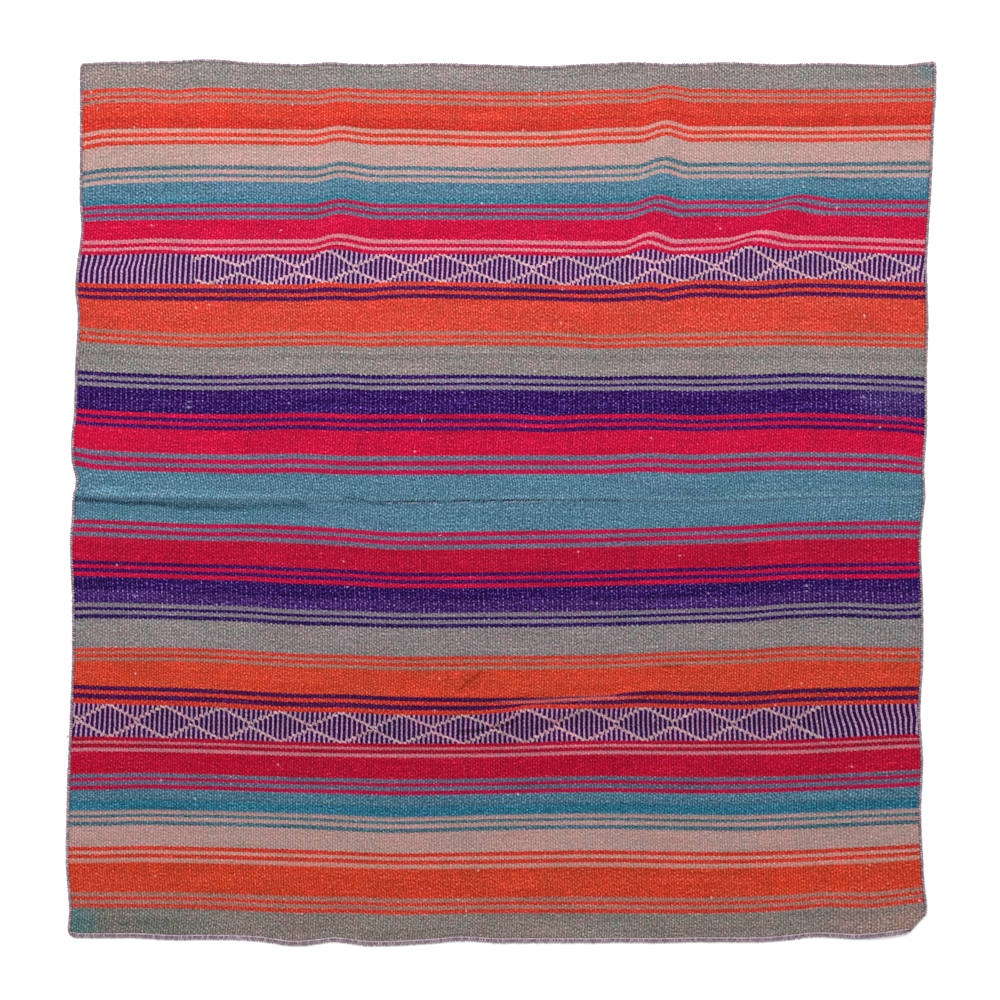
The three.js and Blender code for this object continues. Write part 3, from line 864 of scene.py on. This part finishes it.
# %% Wiring helper
class Wiring:
    """Adds nodes to a tree and wires them. Values may be signals or plain numbers."""

    def __init__(self, tree):
        self.tree = tree

    def feed(self, sockets, values):
        """Wires signals to sockets, or sets numbers on them, by name or by place"""
        for key, value in values.items():
            if isinstance(value, Signal):
                self.tree.links.new(value.socket, sockets[key])
            else:
                sockets[key].default_value = value

    def add(self, kind, values=(), out=0, **settings):
        """A node with its settings, fed by name or in order, and what comes out of it"""
        node = self.tree.nodes.new("ShaderNode" + kind)
        for key, value in settings.items():
            setattr(node, key, value)
        self.feed(node.inputs, values if isinstance(values, dict) else dict(enumerate(values)))
        return Signal(self, node.outputs[out])

    def math(self, operation, *values):
        return self.add("Math", values, operation=operation)

    def vector(self, x, y, z=0.0):
        return self.add("CombineXYZ", (x, y, z))

    def noise(self, vector, scale, detail=2.0):
        return self.add("TexNoise", {"Vector": vector, "Scale": scale, "Detail": detail}, "Fac")

    def stored(self, name, out="Fac"):
        """What the mesh keeps for each vertex under a name"""
        return self.add("Attribute", (), out, attribute_name=name)

    def mix(self, factor, a, b):
        return self.add("Mix", {0: factor, 6: a, 7: b}, 2, data_type="RGBA")

    def bump(self, height, strength, distance):
        return self.add("Bump", {"Strength": strength, "Distance": distance, "Height": height})

    def deepen(self, colour, change, share):
        """Lightens a colour where change is positive and makes it deep, not gray, where negative"""
        change = change * share
        deep = self.add("Gamma", (colour, (1.0 - change).at_least(0.4)))
        bright = (change + 1.0).at_least(0.05)
        return self.add("VectorMath", {0: deep, "Scale": bright}, operation="SCALE")

    def use(self, group, values):
        """A node group at work, and what comes out of it by name"""
        node = self.add("Group", node_tree=group).socket.node
        self.feed(node.inputs, values)
        return {socket.name: Signal(self, socket) for socket in node.outputs}


def new_group(name, inputs, outputs):
    """An empty node group: its wiring, what is given to it, and the sockets for its results"""
    tree = bpy.data.node_groups.new(name, "ShaderNodeTree")
    for label, default in inputs.items():
        kind = "NodeSocketColor" if isinstance(default, tuple) else "NodeSocketFloat"
        tree.interface.new_socket(label, in_out="INPUT", socket_type=kind).default_value = default
    for label in outputs:
        kind = "NodeSocketColor" if label == "Colour" else "NodeSocketFloat"
        tree.interface.new_socket(label, in_out="OUTPUT", socket_type=kind)
    wires = Wiring(tree)
    start = tree.nodes.new("NodeGroupInput").outputs
    given = {socket.name: Signal(wires, socket) for socket in start}
    return wires, given, tree.nodes.new("NodeGroupOutput").inputs


# %% The woven floats
def floats_group():
    w, given, result = new_group(
        "woven floats",
        {"Along": 0.0, "Across": 0.0, "Pick": 0.004, "Bead": 0.0056, "Slant": 0.12, "Waver": 0.3,
         "Step": 0.0004},
        ("Pick count", "Own across", "Height", "Fleck", "Odd"),
    )
    along, across = given["Along"], given["Across"]
    place = w.vector(along, across)
    slow = w.noise(place, 9.0) - 0.5
    quick = w.noise(place, 55.0) - 0.5
    fine = w.noise(place, 300.0, 1.0) - 0.5
    count = along / given["Pick"] + given["Waver"] * (slow * 4.0 + quick)
    pick = count.floor()
    in_pick = count - pick - 0.5
    odd = pick % 2.0
    lag = w.add("TexWhiteNoise", {"W": pick}, noise_dimensions="1D")
    thread = across / given["Bead"] + odd * 0.5 + given["Slant"] * in_pick
    thread = thread + (quick + fine) * 0.9 + lag * 0.35
    in_thread = thread - thread.floor() - 0.5
    belly = 1.0 - in_pick * in_pick * 3.4 - in_thread * in_thread * 3.0
    half_float = w.vector(pick, (thread * 2.0).floor())
    zigzag = in_pick * 1.3 + odd * 2.0 - 1.0 + fine * 4.0
    w.feed(result, {
        "Pick count": count,
        "Own across": zigzag * given["Step"] + across,
        "Height": belly.at_least(0.01).root(),
        "Fleck": w.add("TexWhiteNoise", {"Vector": half_float}, noise_dimensions="2D"),
        "Odd": odd,
    })
    return w.tree


FLOATS = floats_group()
print("group:", FLOATS.name, "nodes:", len(FLOATS.nodes))

# %% [markdown]
# Handspun wool is never one colour. Some of the difference runs along the thread for a few
# centimetres, some changes from float to float, and here and there a pale or dark fibre shows.
# One group adds all three to any colour, in the strength that the wool calls for.

# %% Heathered wool
LINT = (0.62, 0.55, 0.62, 1)
LINT_RARE = 0.9994
PAINTED_SHEEN = (0.7, 0.65, 0.7, 1)
TWO_PLY = 0.95


def heather_group():
    w, given, result = new_group(
        "heathered wool",
        {"Colour": (0.5, 0.5, 0.5, 1), "Along": 0.0, "Across": 0.0, "Height": 0.7, "Fleck": 0.5,
         "Odd": 0.0, "Mottle": 0.5},
        ("Colour",),
    )
    along, across = given["Along"], given["Across"]
    height, fleck, mottle = given["Height"], given["Fleck"], given["Mottle"]
    place = w.vector(along, across, 3.0)
    parts = (
        (w.noise(w.vector(along * 5.0, across * 62.0, 9.0), 1.0), 0.6),
        (w.noise(w.vector(along * 9.0, across * 190.0), 1.0, 3.0), 0.6),
        (w.noise(w.vector(along * 70.0, across * 330.0, 5.0), 1.0, 1.0), 0.3),
        (w.noise(place, 330.0, 0.0), 2.0),
        (w.noise(place, 620.0, 0.0), 1.6),
        (fleck, 0.28),
        # Painted highlight on the tops of the floats and painted shade in the gaps between them
        (height - 0.22, 1.3),
    )
    change = 0.0
    for part, strength in parts:
        change = (part - 0.5) * strength + change
    lighter_pick = given["Odd"] * height * 1.3 - 0.45
    change = change * mottle + lighter_pick * ((mottle > TWO_PLY) * 0.25)
    drift = w.noise(place, 13.0) + w.noise(place, 60.0, 1.0) - 1.0
    tint = w.vector(drift * 0.4 + 1.0, 1.0, drift * 0.1 + 1.0)
    tinted = w.add("VectorMath", (given["Colour"], tint), operation="MULTIPLY")
    shaded = w.deepen(tinted, change, 0.45)
    # Painted sheen: the lightest places of the wool mix toward a pale lilac gray
    shaded = w.mix(((change - 0.25) * 0.1).held(), shaded, PAINTED_SHEEN)
    lint = (fleck > LINT_RARE) * 0.4 * height
    w.feed(result, {"Colour": w.mix(lint, shaded, LINT)})
    return w.tree


HEATHER = heather_group()
print("group:", HEATHER.name, "nodes:", len(HEATHER.nodes))

# %% [markdown]
# In the band, purple and pink threads alternate, so bars stand where one or the other shows.
# A pick-up stick swaps them inside the diamonds, and at the swap a pale line forms. One of its
# two directions is smooth and the other climbs in steps, as on the real band.

# %% The diamond band
BAR_HALF = 0.173
BAR_NARROWER = 0.018
LINE_HALF = 0.078
STAIR = 0.08


def band_group():
    w, given, result = new_group(
        "diamond band",
        {"Pick count": 0.0, "Depth": 0.5, "Diamond": 0.0, "Apart": 0.1, "Picked": 1.0,
         "Dark": (0, 0, 0, 1), "Bar": (1, 1, 1, 1), "Line": (1, 1, 1, 1)},
        ("Colour",),
    )
    diamond, picked = given["Diamond"], given["Picked"]
    pair = given["Pick count"] * 0.5
    out = (given["Depth"] - 0.5) * 2.0
    off_middle = out.size()

    def spread(count):
        """Small where the lines nearly cross and 1 where they are furthest apart"""
        near_crossing = (count.fraction() - 0.5).size()
        return (near_crossing * (given["Apart"] * 2.0 - 2.0) + 1.0).at_most(0.98)

    stepped = (pair.fraction() - 0.5) * -STAIR + diamond
    smooth_way = (diamond.fraction() < 0.5).near(out > 0.0, 0.5)
    reach = smooth_way * spread(diamond) + (1.0 - smooth_way) * spread(stepped)
    inside = (off_middle < reach) * picked
    swapped = (inside * 0.5 + pair).fraction()
    bar_half = inside * -BAR_NARROWER + BAR_HALF
    bars = ((bar_half - (swapped - 0.5).size()) * 12.0 + 0.5).held()
    from_line = (off_middle - reach).size()
    line = ((LINE_HALF - from_line) * 22.0 + 0.5).held() * picked
    barred = w.mix(bars, given["Dark"], given["Bar"])
    w.feed(result, {"Colour": w.mix(line, barred, given["Line"])})
    return w.tree


BAND_GROUP = band_group()
print("group:", BAND_GROUP.name, "nodes:", len(BAND_GROUP.nodes))

# %% The cloth's material
PICK = 3.72 * MM
BEAD = 5.6 * MM
BAND_DARK = wool(48, 12, 70)
BAND_BAR = wool(192, 150, 180)
BAND_LINE = wool(192, 152, 160)
BAND_MOTTLE = 0.6
RAMPS = 5
DULL = {"Roughness": 0.95, "Specular IOR Level": 0.05}


def new_material(name):
    """A material with its wiring and the sockets of its shader"""
    material = bpy.data.materials.new(name)
    material.use_nodes = True
    return material, Wiring(material.node_tree), material.node_tree.nodes["Principled BSDF"].inputs


def stripe_ramps(w, own):
    """The chart as colour ramps without blending, one for each span, so that the sides stay sharp"""
    ends = [start for _, start in STRIPES[1:]] + [0.0]
    outward = [(name, end) for (name, _), end in zip(STRIPES, ends)][::-1]
    for k in range(RAMPS):
        low, high = k * LOOM_EDGE / RAMPS, (k + 1) * LOOM_EDGE / RAMPS
        first = max(i for i, (_, start) in enumerate(outward) if start <= low)
        here = [outward[first]] + [row for row in outward if low < row[1] < high]
        node = w.add("ValToRGB", ((own - low * MM) / ((high - low) * MM),)).socket.node
        node.color_ramp.interpolation = "CONSTANT"
        elements = node.color_ramp.elements
        while len(elements) < len(here):
            elements.new(1.0)
        for element, (name, start) in zip(elements, here):
            element.position = max(start - low, 0) / (high - low)
            element.color = WOOLS["purple" if name == BAND else name]
        span_colour, span_mottle = (Signal(w, socket) for socket in node.outputs)
        if k == 0:
            colour, mottle = span_colour, span_mottle
            continue
        beyond = own > low * MM
        colour = w.mix(beyond, colour, span_colour)
        mottle = (span_mottle - mottle) * beyond + mottle
    return colour, mottle


def wool_cloth():
    """The material of both panels"""
    material, w, shader = new_material("striped wool")
    web = w.add("SeparateXYZ", (w.add("UVMap", uv_map="web"),)).socket.node.outputs
    along, across = Signal(w, web[0]), Signal(w, web[1])
    floats = w.use(FLOATS, {"Along": along, "Across": across, "Pick": PICK, "Bead": BEAD})
    own = floats["Own across"]
    stripes, mottle = stripe_ramps(w, own)
    depth = (BAND_OUTER * MM - own) / ((BAND_OUTER - BAND_INNER) * MM)
    band = w.use(BAND_GROUP, {
        "Pick count": floats["Pick count"], "Depth": depth, "Diamond": w.stored("diamond"),
        "Apart": w.stored("apart"), "Picked": w.stored("picked"),
        "Dark": BAND_DARK, "Bar": BAND_BAR, "Line": BAND_LINE,
    })
    in_band = depth.near(0.5, 0.5)
    colour = w.mix(in_band, stripes, band["Colour"])
    mottle = mottle.at_most(in_band * (BAND_MOTTLE - 1.0) + 1.0)
    patchy = w.noise(w.vector(along, across), 160.0, 3.0) * 1.2 + 0.4
    # Stains and dye lots, with a few painted highlights and painted shade
    tint_share = (w.stored("tint_and_painted_light", "Alpha") * patchy).held()
    colour = w.mix(tint_share, colour, w.stored("tint_and_painted_light", "Color"))
    heathered = w.use(HEATHER, {
        "Colour": colour, "Along": along, "Across": across, "Height": floats["Height"],
        "Fleck": floats["Fleck"], "Odd": floats["Odd"], "Mottle": mottle,
    })
    w.feed(shader, {
        **DULL,
        # The base colour carries the painted light and shade and a few changes of tone
        "Base Color": w.deepen(heathered["Colour"], w.stored("painted_light_and_tone") - 1.0, 0.6),
        "Sheen Weight": 0.03,
        "Sheen Roughness": 0.6,
        "Normal": w.bump(floats["Height"], 0.5, 0.8 * MM),
    })
    return material


striped_wool = wool_cloth()
for piece in (panel_upper, panel_lower):
    piece.data.materials.append(striped_wool)
    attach(piece, "root")
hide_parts("panel_upper")
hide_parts("panel_lower")
print("material:", striped_wool.name, "nodes:", len(striped_wool.node_tree.nodes))

# %% [markdown]
# ## The overcast edging
#
# The edging is one yarn sewn round and round over the edge, so each stitch is a small loop: up
# through a needle hole, over the edge, down its outside and back underneath. A plain rounded
# border would look like piping, so every stitch is a real strand of two plies twisted together.
# The loops are made by one function and laid along each side.

# %% Strands
PLY_SIDES = 5
PLY_OFFSET = 0.5
PLY_SIZE = 0.725
UPRIGHT = np.array([[0.0, 0.0, 1.0]])


def square_to(paths, cross):
    """Two directions at right angles to each path. cross is one that no path runs along."""
    run = np.gradient(paths, axis=1)
    run /= np.linalg.norm(run, axis=2, keepdims=True)
    aside = cross[:, None] - (cross[:, None] * run).sum(2, keepdims=True) * run
    aside /= np.linalg.norm(aside, axis=2, keepdims=True)
    return aside, np.cross(run, aside)


def tubes(paths, radius, cross):
    """Round tubes along many paths at once"""
    count, points = paths.shape[:2]
    aside, up = square_to(paths, cross)
    turn = np.arange(PLY_SIDES) * 2 * np.pi / PLY_SIDES
    ring = aside[:, :, None] * np.cos(turn)[:, None] + up[:, :, None] * np.sin(turn)[:, None]
    vertices = (paths[:, :, None] + ring * radius[:, :, None, None]).reshape(-1, 3)
    first = np.arange(count * points).reshape(count, points) * PLY_SIDES
    k = np.arange(PLY_SIDES)
    after = (k + 1) % PLY_SIDES
    a, b = first[:, :-1, None], first[:, 1:, None]
    walls = np.stack((a + k, a + after, b + after, b + k), -1).reshape(-1, 4)
    starts = first[:, :1] + k[::-1]
    ends = first[:, -1:] + k
    return vertices, [tuple(f) for f in (*walls.tolist(), *starts.tolist(), *ends.tolist())]


def one_mesh(meshes):
    """Several meshes as one"""
    bases = np.cumsum([0] + [len(vertices) for vertices, _ in meshes]).tolist()
    faces = [tuple(i + base for i in face) for (_, own), base in zip(meshes, bases) for face in own]
    return np.vstack([vertices for vertices, _ in meshes]), faces


def twisted(paths, radius, cross, turns):
    """Two plies wound round each path"""
    aside, up = square_to(paths, cross)
    angle = np.linspace(0, 2 * np.pi * turns, paths.shape[1])[None, :, None]
    plies = []
    for start in (0, np.pi):
        off = aside * np.cos(angle + start) + up * np.sin(angle + start)
        middle = paths + off * radius[:, :, None] * PLY_OFFSET
        plies.append(tubes(middle, radius * PLY_SIZE, cross))
    return one_mesh(plies)


def yarn_piece(name, mesh, tones):
    """A piece of yarn that stays off the floor, with one tone for each point of its paths"""
    vertices, faces = mesh
    vertices[:, 2] = np.maximum(vertices[:, 2], OFF_FLOOR)
    piece = new_object(name, vertices, faces)
    set_values(piece.data, "tone", np.resize(np.repeat(tones, PLY_SIDES), len(vertices)))
    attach(piece, "root")
    return piece


# %% Stitches
LOOP_POINTS = 12
LOOP_OUT = 1.4
LOOP_TOP = 4.0
LOOP_LEAN = 1.6
LOOP_TURNS = 1.6
LOOP_ROUND = 2 / 2.2
PAST_UPRIGHT = 0.9
TANGENT = 3
PAINTED_RIM_SHADE = 0.75
RIM_WIDTH = 0.2
# How unlike each other the stitches are, in their places, reach, lean, thickness and tone
UNLIKE = {"place": 0.07, "reach": 0.04, "lean": 0.15, "size": 0.12, "tone": 1.4}
random = np.random.default_rng(7)


def jitter(share, count):
    """A small random difference for each stitch"""
    return share * random.standard_normal((count, 1))


def loops(where, outward, along, z, reach_in, radius):
    """One loop for each place on the edge, from the upper needle hole round to the lower one"""
    outer, high = LOOP_OUT - radius, LOOP_TOP - radius * 0.6
    angle = np.linspace(np.pi / 2 + PAST_UPRIGHT, -np.pi / 2 - PAST_UPRIGHT, LOOP_POINTS)
    out, up = (np.sign(v) * np.abs(v) ** LOOP_ROUND for v in (np.cos(angle), np.sin(angle)))
    half = (outer + reach_in) / 2 * (1 + jitter(UNLIKE["reach"], len(where)))
    reach = (outer - reach_in) / 2 + half * out
    rise = z[:, None] + (high + radius) / 2 + (high - radius) / 2 * up
    lean = LOOP_LEAN * np.linspace(-0.5, 0.5, LOOP_POINTS) + jitter(UNLIKE["lean"], len(where))
    place = where[:, None] + outward[:, None] * reach[..., None] + along[:, None] * lean[..., None]
    return np.concatenate((place, rise[..., None]), 2)


def before_fold(x, y):
    """True for places that the folded corner leaves on top"""
    return inside_fold(x, y) > 1.0


def edging(word, where, z, pitch, reach_in, yarn):
    """Overcast stitches along a line of places on the blanket's outline"""
    length = np.concatenate(([0], np.cumsum(np.hypot(*np.diff(where, axis=0).T))))
    at = np.arange(pitch / 2, length[-1], pitch)
    at = at + jitter(UNLIKE["place"] * pitch, len(at))[:, 0]

    def on_line(at):
        return np.stack([np.interp(at, length, where[:, k]) for k in (0, 1)], 1)

    at = at[before_fold(*on_line(at).T)]
    along = on_line(at - TANGENT) - on_line(at + TANGENT)
    along /= np.linalg.norm(along, axis=1, keepdims=True)
    outward = np.stack((along[:, 1], -along[:, 0]), 1)
    radius = yarn / 2
    paths = loops(on_line(at), outward, along, np.interp(at, length, z), reach_in, radius)
    sizes = radius * (1 + jitter(UNLIKE["size"], len(at))) * np.ones(LOOP_POINTS)
    mesh = twisted(paths, sizes, np.pad(along, ((0, 0), (0, 1))), LOOP_TURNS)
    # Painted shade on the outer turn of each loop, which faces away from the light
    rim = 1 - PAINTED_RIM_SHADE * np.exp(-(np.linspace(-0.5, 0.5, LOOP_POINTS) / RIM_WIDTH) ** 2)
    tones = random.random((len(at), 1)) ** UNLIKE["tone"] * rim
    piece = yarn_piece("stitches_" + word, mesh, tones)
    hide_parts("edging_" + word)
    return piece


def outline(side, x, level):
    """Places on the outline with the height of the cloth there"""
    px, py = (v.ravel() for v in lay(side, x, level))
    return np.stack((px, py), 1), lift(px, py)


# %% Sewing it on
ALONG_X = np.linspace(-HALF_X, HALF_X, 640)
END = {side: np.array([side * REACH[side]]) for side in (1, -1)}
DOWN_SIDE = {side: np.linspace(side * REACH[side], SEAM, 320) for side in (1, -1)}

# Name, places and heights, stitch to stitch, reach over the cloth, thickness of the yarn
runs = [("top", *outline(1, ALONG_X, END[1]), 3.4, 3.4, 2.7),
        ("bottom", *outline(-1, ALONG_X[::-1], END[-1]), 3.9, 6.4, 2.7)]
for x, word, pitch, reach_in in ((-HALF_X, "left", 3.5, 3.2), (HALF_X, "right", 3.8, 2.6)):
    for side, half in ((1, "upper"), (-1, "lower")):
        way = 1 if (x > 0) == (side > 0) else -1
        line, line_z = outline(side, np.array([float(x)]), DOWN_SIDE[side])
        runs.append((f"{word}_{half}", line[::way], line_z[::way], pitch, reach_in, 2.6))
edgings = [edging(*run) for run in runs]
report(edgings)

# %% [markdown]
# Along the lower edge the yarn was caught twice, so two more strands run there, one over the
# needle holes and one along the rim, and the holes show as a row of dark dots between them. The
# same kind of strand makes the small ear at the upper right corner and the loose end on the left.

# %% Running strands
STRAND_TWIST = 4.4
BEAD_POINTS = 4
EAR = ((641, 654.5, 3), (643, 659, 3.6), (646.5, 661, 4.2), (650, 658.5, 4.4), (650.5, 654, 3.6),
       (648, 651, 3))
LOOSE_END = ((-644, -346, 2.6), (-647, -349, 3.2), (-650, -350.5, 2.2), (-652, -353, 1.4))


def strand(name, path, yarn, tone=0.7):
    """One plied strand along a path of places with heights"""
    length = np.linalg.norm(np.diff(path, axis=0), axis=1).sum()
    mesh = twisted(path[None], np.full((1, len(path)), yarn / 2), UPRIGHT, length / STRAND_TWIST)
    return yarn_piece(name, mesh, np.broadcast_to(tone, len(path)))


def smooth_path(points, step):
    """A smooth path through a few places, with points about every step"""
    points = np.array(points, float)
    length = np.concatenate(([0], np.cumsum(np.linalg.norm(np.diff(points, axis=0), axis=1))))
    return through(length, points, np.linspace(0, length[-1], max(3, int(length[-1] / step))))


rims = []
# Name, how far inside the edge, height, thickness, tone and how much the tone changes
for name, inset, z, yarn, tone, beads in (
    ("strand_inner", 5.6, 3.1, 2.0, 0.5, 0.8),
    # The rim strand's low tone is painted shade of the edge's turned-under side
    ("strand_rim", 1.3, 2.2, 2.1, 0.4, 0.2),
):
    places, heights = outline(-1, ALONG_X, END[-1] + inset)
    kept = before_fold(places[:, 0], places[:, 1] - 2) & (np.abs(ALONG_X) < HALF_X - 5)
    path = smooth_path(np.column_stack((places[kept], heights[kept] + z)), 0.9)
    grains = np.repeat(random.random(len(path) // BEAD_POINTS + 1), BEAD_POINTS)[:len(path)]
    rims.append(strand(name, path, yarn, tone + beads * grains))
rims.append(strand("corner_ear", smooth_path(EAR, 0.5), 2.2))
rims.append(strand("loose_end", smooth_path(LOOSE_END, 0.5), 1.3))
print("running strands:", [piece.name for piece in rims])

# %% [markdown]
# ## The seam
#
# The halves are whipped together with a yarn of the stripe's own blue. In the middle the seam has
# opened a little: there the stitches pull apart, some paler yarn shows below the gap, and the gap
# itself is painted on the cloth as a row of dark dashes of shade. Every stitch is one small arc
# over the seam.

# %% Seam stitches
SEAM_PITCH = 4.1
SEAM_YARN = 1.5
SEAM_TURNS = 1.2
ARC_POINTS = 7
SEAM_TOP = 1.75
# An arc's lower and upper end across the seam, its half width along it and its rise
PALE_ARC = (-2.9, -0.7, 1.5, 0.8)
BLUE_ARC = (-2.2, 1.8, 0.8, 0.35)
PALE_RUNS = ((-174, -165), (-143, -119), (-110, -98), (-72, -45), (-19, -11), (2, 64))


def seam_stitches():
    """Arcs over the seam, paler and lower down where the seam is open"""
    at = np.arange(-HALF_X + 6, HALF_X - 6, SEAM_PITCH)[:, None]
    at = at + jitter(0.5, len(at))
    pale = np.any([(at > low) & (at < high) for low, high in PALE_RUNS], axis=0)
    f = np.linspace(0, 1, ARC_POINTS)
    low_y, high_y, half_x, rise = (np.where(pale, *pair) for pair in zip(PALE_ARC, BLUE_ARC))
    x = at + half_x * (2 * f - 1)
    y = through(ACROSS["x"], ACROSS["seam"], at[:, 0])[:, None] + low_y + (high_y - low_y) * f
    z = lift(x, y) + SEAM_TOP + rise * np.sin(np.pi * f)
    radius = SEAM_YARN / 2 * (1 + jitter(0.15, len(at))) * np.ones(ARC_POINTS)
    cross = np.tile([1.0, -1.0, 0.0], (len(at), 1))
    mesh = twisted(np.stack((x, y, z), -1), radius, cross, SEAM_TURNS)
    light, deep = 0.75 + 0.25 * random.random(at.shape), 0.25 * random.random(at.shape)
    tones = np.where(pale, light, deep) * np.ones(ARC_POINTS)
    return yarn_piece("stitches_seam", mesh, tones)


seam = seam_stitches()
report([seam])

# %% [markdown]
# A used blanket carries a few clinging fibres. Each one is a short thread laid where the photo
# shows it.

# %% Clinging fibres
# Middle, length, angle in degrees, how pale
FIBRES = (
    (-622, 599, 11, 4, 0.0), (-583, 601, 7, 10, 0.0), (-442, 475, 7, -40, 0.0),
    (-438, 474, 5, 40, 0.1), (-364, 586, 4, -60, 0.1), (-330, 408, 4, 20, 1.0),
    (-605, 590, 4, 70, 0.9), (-92, -50, 4, 10, 1.0), (-118, 124, 7, 80, 0.8),
    (268, -80, 4, 0, 0.9), (-230, -127, 4, 30, 1.0), (638, 616, 5, 50, 0.0),
    (646.5, 653.5, 4, 20, 0.0),
)
FIBRE_RADIUS = 0.55
FIBRE_BEND = 0.12
FIBRE_HEIGHT = 2.9


def fibre(x, y, length, angle):
    """One short bent thread on the cloth"""
    f = np.linspace(-0.5, 0.5, ARC_POINTS)
    run, bend = length * f, FIBRE_BEND * length * np.cos(np.pi * f)
    cos, sin = np.cos(np.radians(angle)), np.sin(np.radians(angle))
    px, py = x + run * cos - bend * sin, y + run * sin + bend * cos
    path = np.stack((px, py, lift(px, py) + FIBRE_HEIGHT), -1)[None]
    return tubes(path, np.full((1, ARC_POINTS), FIBRE_RADIUS), UPRIGHT)


threads = one_mesh([fibre(*row[:4]) for row in FIBRES])
tones = np.repeat([row[4] for row in FIBRES], ARC_POINTS)
clinging = yarn_piece("clinging_fibres", threads, tones)
print("fibres:", len(FIBRES))

# %% Yarn material
LILAC = wool(208, 186, 196)
LILAC_DARK = wool(100, 80, 96)
SEAM_PALE = wool(166, 160, 180)
SEAM_BLUE = wool(34, 102, 130)
FIBRE_PALE = wool(205, 190, 200)
FIBRE_DARK = wool(40, 34, 46)


def yarn_material(name, light, dark, fibre_share):
    """Plied yarn: each stitch has its own tone, with fine fibres along it"""
    material, w, shader = new_material(name)
    fibre = w.noise(w.add("TexCoord", out="Object"), 2200.0)
    blend = (fibre * fibre_share + w.stored("tone") * (1 - fibre_share)).held()
    w.feed(shader, {
        **DULL,
        "Base Color": w.mix(blend, dark, light),
        "Sheen Weight": 0.05,
        "Normal": w.bump(fibre, 0.4, 0.2 * MM),
    })
    return material


for pieces, name, light, dark, share in (
    (edgings + rims, "lilac edging yarn", LILAC, LILAC_DARK, 0.4),
    ([seam], "seam yarn", SEAM_PALE, SEAM_BLUE, 0.3),
    ([clinging], "clinging fibre", FIBRE_PALE, FIBRE_DARK, 0.15),
):
    yarn = yarn_material(name, light, dark, share)
    for piece in pieces:
        piece.data.materials.append(yarn)
    print(yarn.name, "on", len(pieces), "pieces")

# %% [markdown]
# ## Floor and light
#
# The blanket lies on a plain pale floor. The light is the soft light of a studio: an even world
# all round, and one wide lamp high up beyond the upper edge, which makes the lower end a little
# darker and draws a faint shadow under the lower edge.

# %% Floor and light
FLOOR_HALF = 15000
LAMP_SIZE = (2.56, 1.6)
LAMP_POWER = 108
LAMP_PLACE = (-0.5, 2.1, 2.9)
SKY = 0.72

corners = [(x * FLOOR_HALF, y * FLOOR_HALF, 0) for x, y in ((-1, -1), (1, -1), (1, 1), (-1, 1))]
floor = new_object("floor", corners, [(0, 1, 2, 3)])
paper, w, shader = new_material("pale floor")
shade = w.noise(w.add("TexCoord", out="Object"), 3.0, 4.0) * 0.02 + 0.95
w.feed(shader, {"Base Color": w.vector(shade, shade, shade), "Roughness": 0.9})
floor.data.materials.append(paper)

world = bpy.data.worlds.new("studio")
bpy.context.scene.world = world
world.use_nodes = True
Wiring(world.node_tree).feed(world.node_tree.nodes["Background"].inputs,
                             {"Color": (1.0, 1.0, 1.0, 1), "Strength": SKY * STUDIO})

lamp_data = bpy.data.lights.new("lamp", "AREA")
lamp_data.shape = "RECTANGLE"
lamp_data.size, lamp_data.size_y = LAMP_SIZE
lamp_data.energy = LAMP_POWER * STUDIO
lamp = in_scene("lamp", lamp_data)
lamp.location = LAMP_PLACE
lamp.rotation_euler = Vector(-lamp.location).to_track_quat("-Z", "Y").to_euler()
lamp.visible_camera = False
bpy.context.scene.view_settings.view_transform = "Standard"
print("lamp at", [round(v, 2) for v in lamp.location])
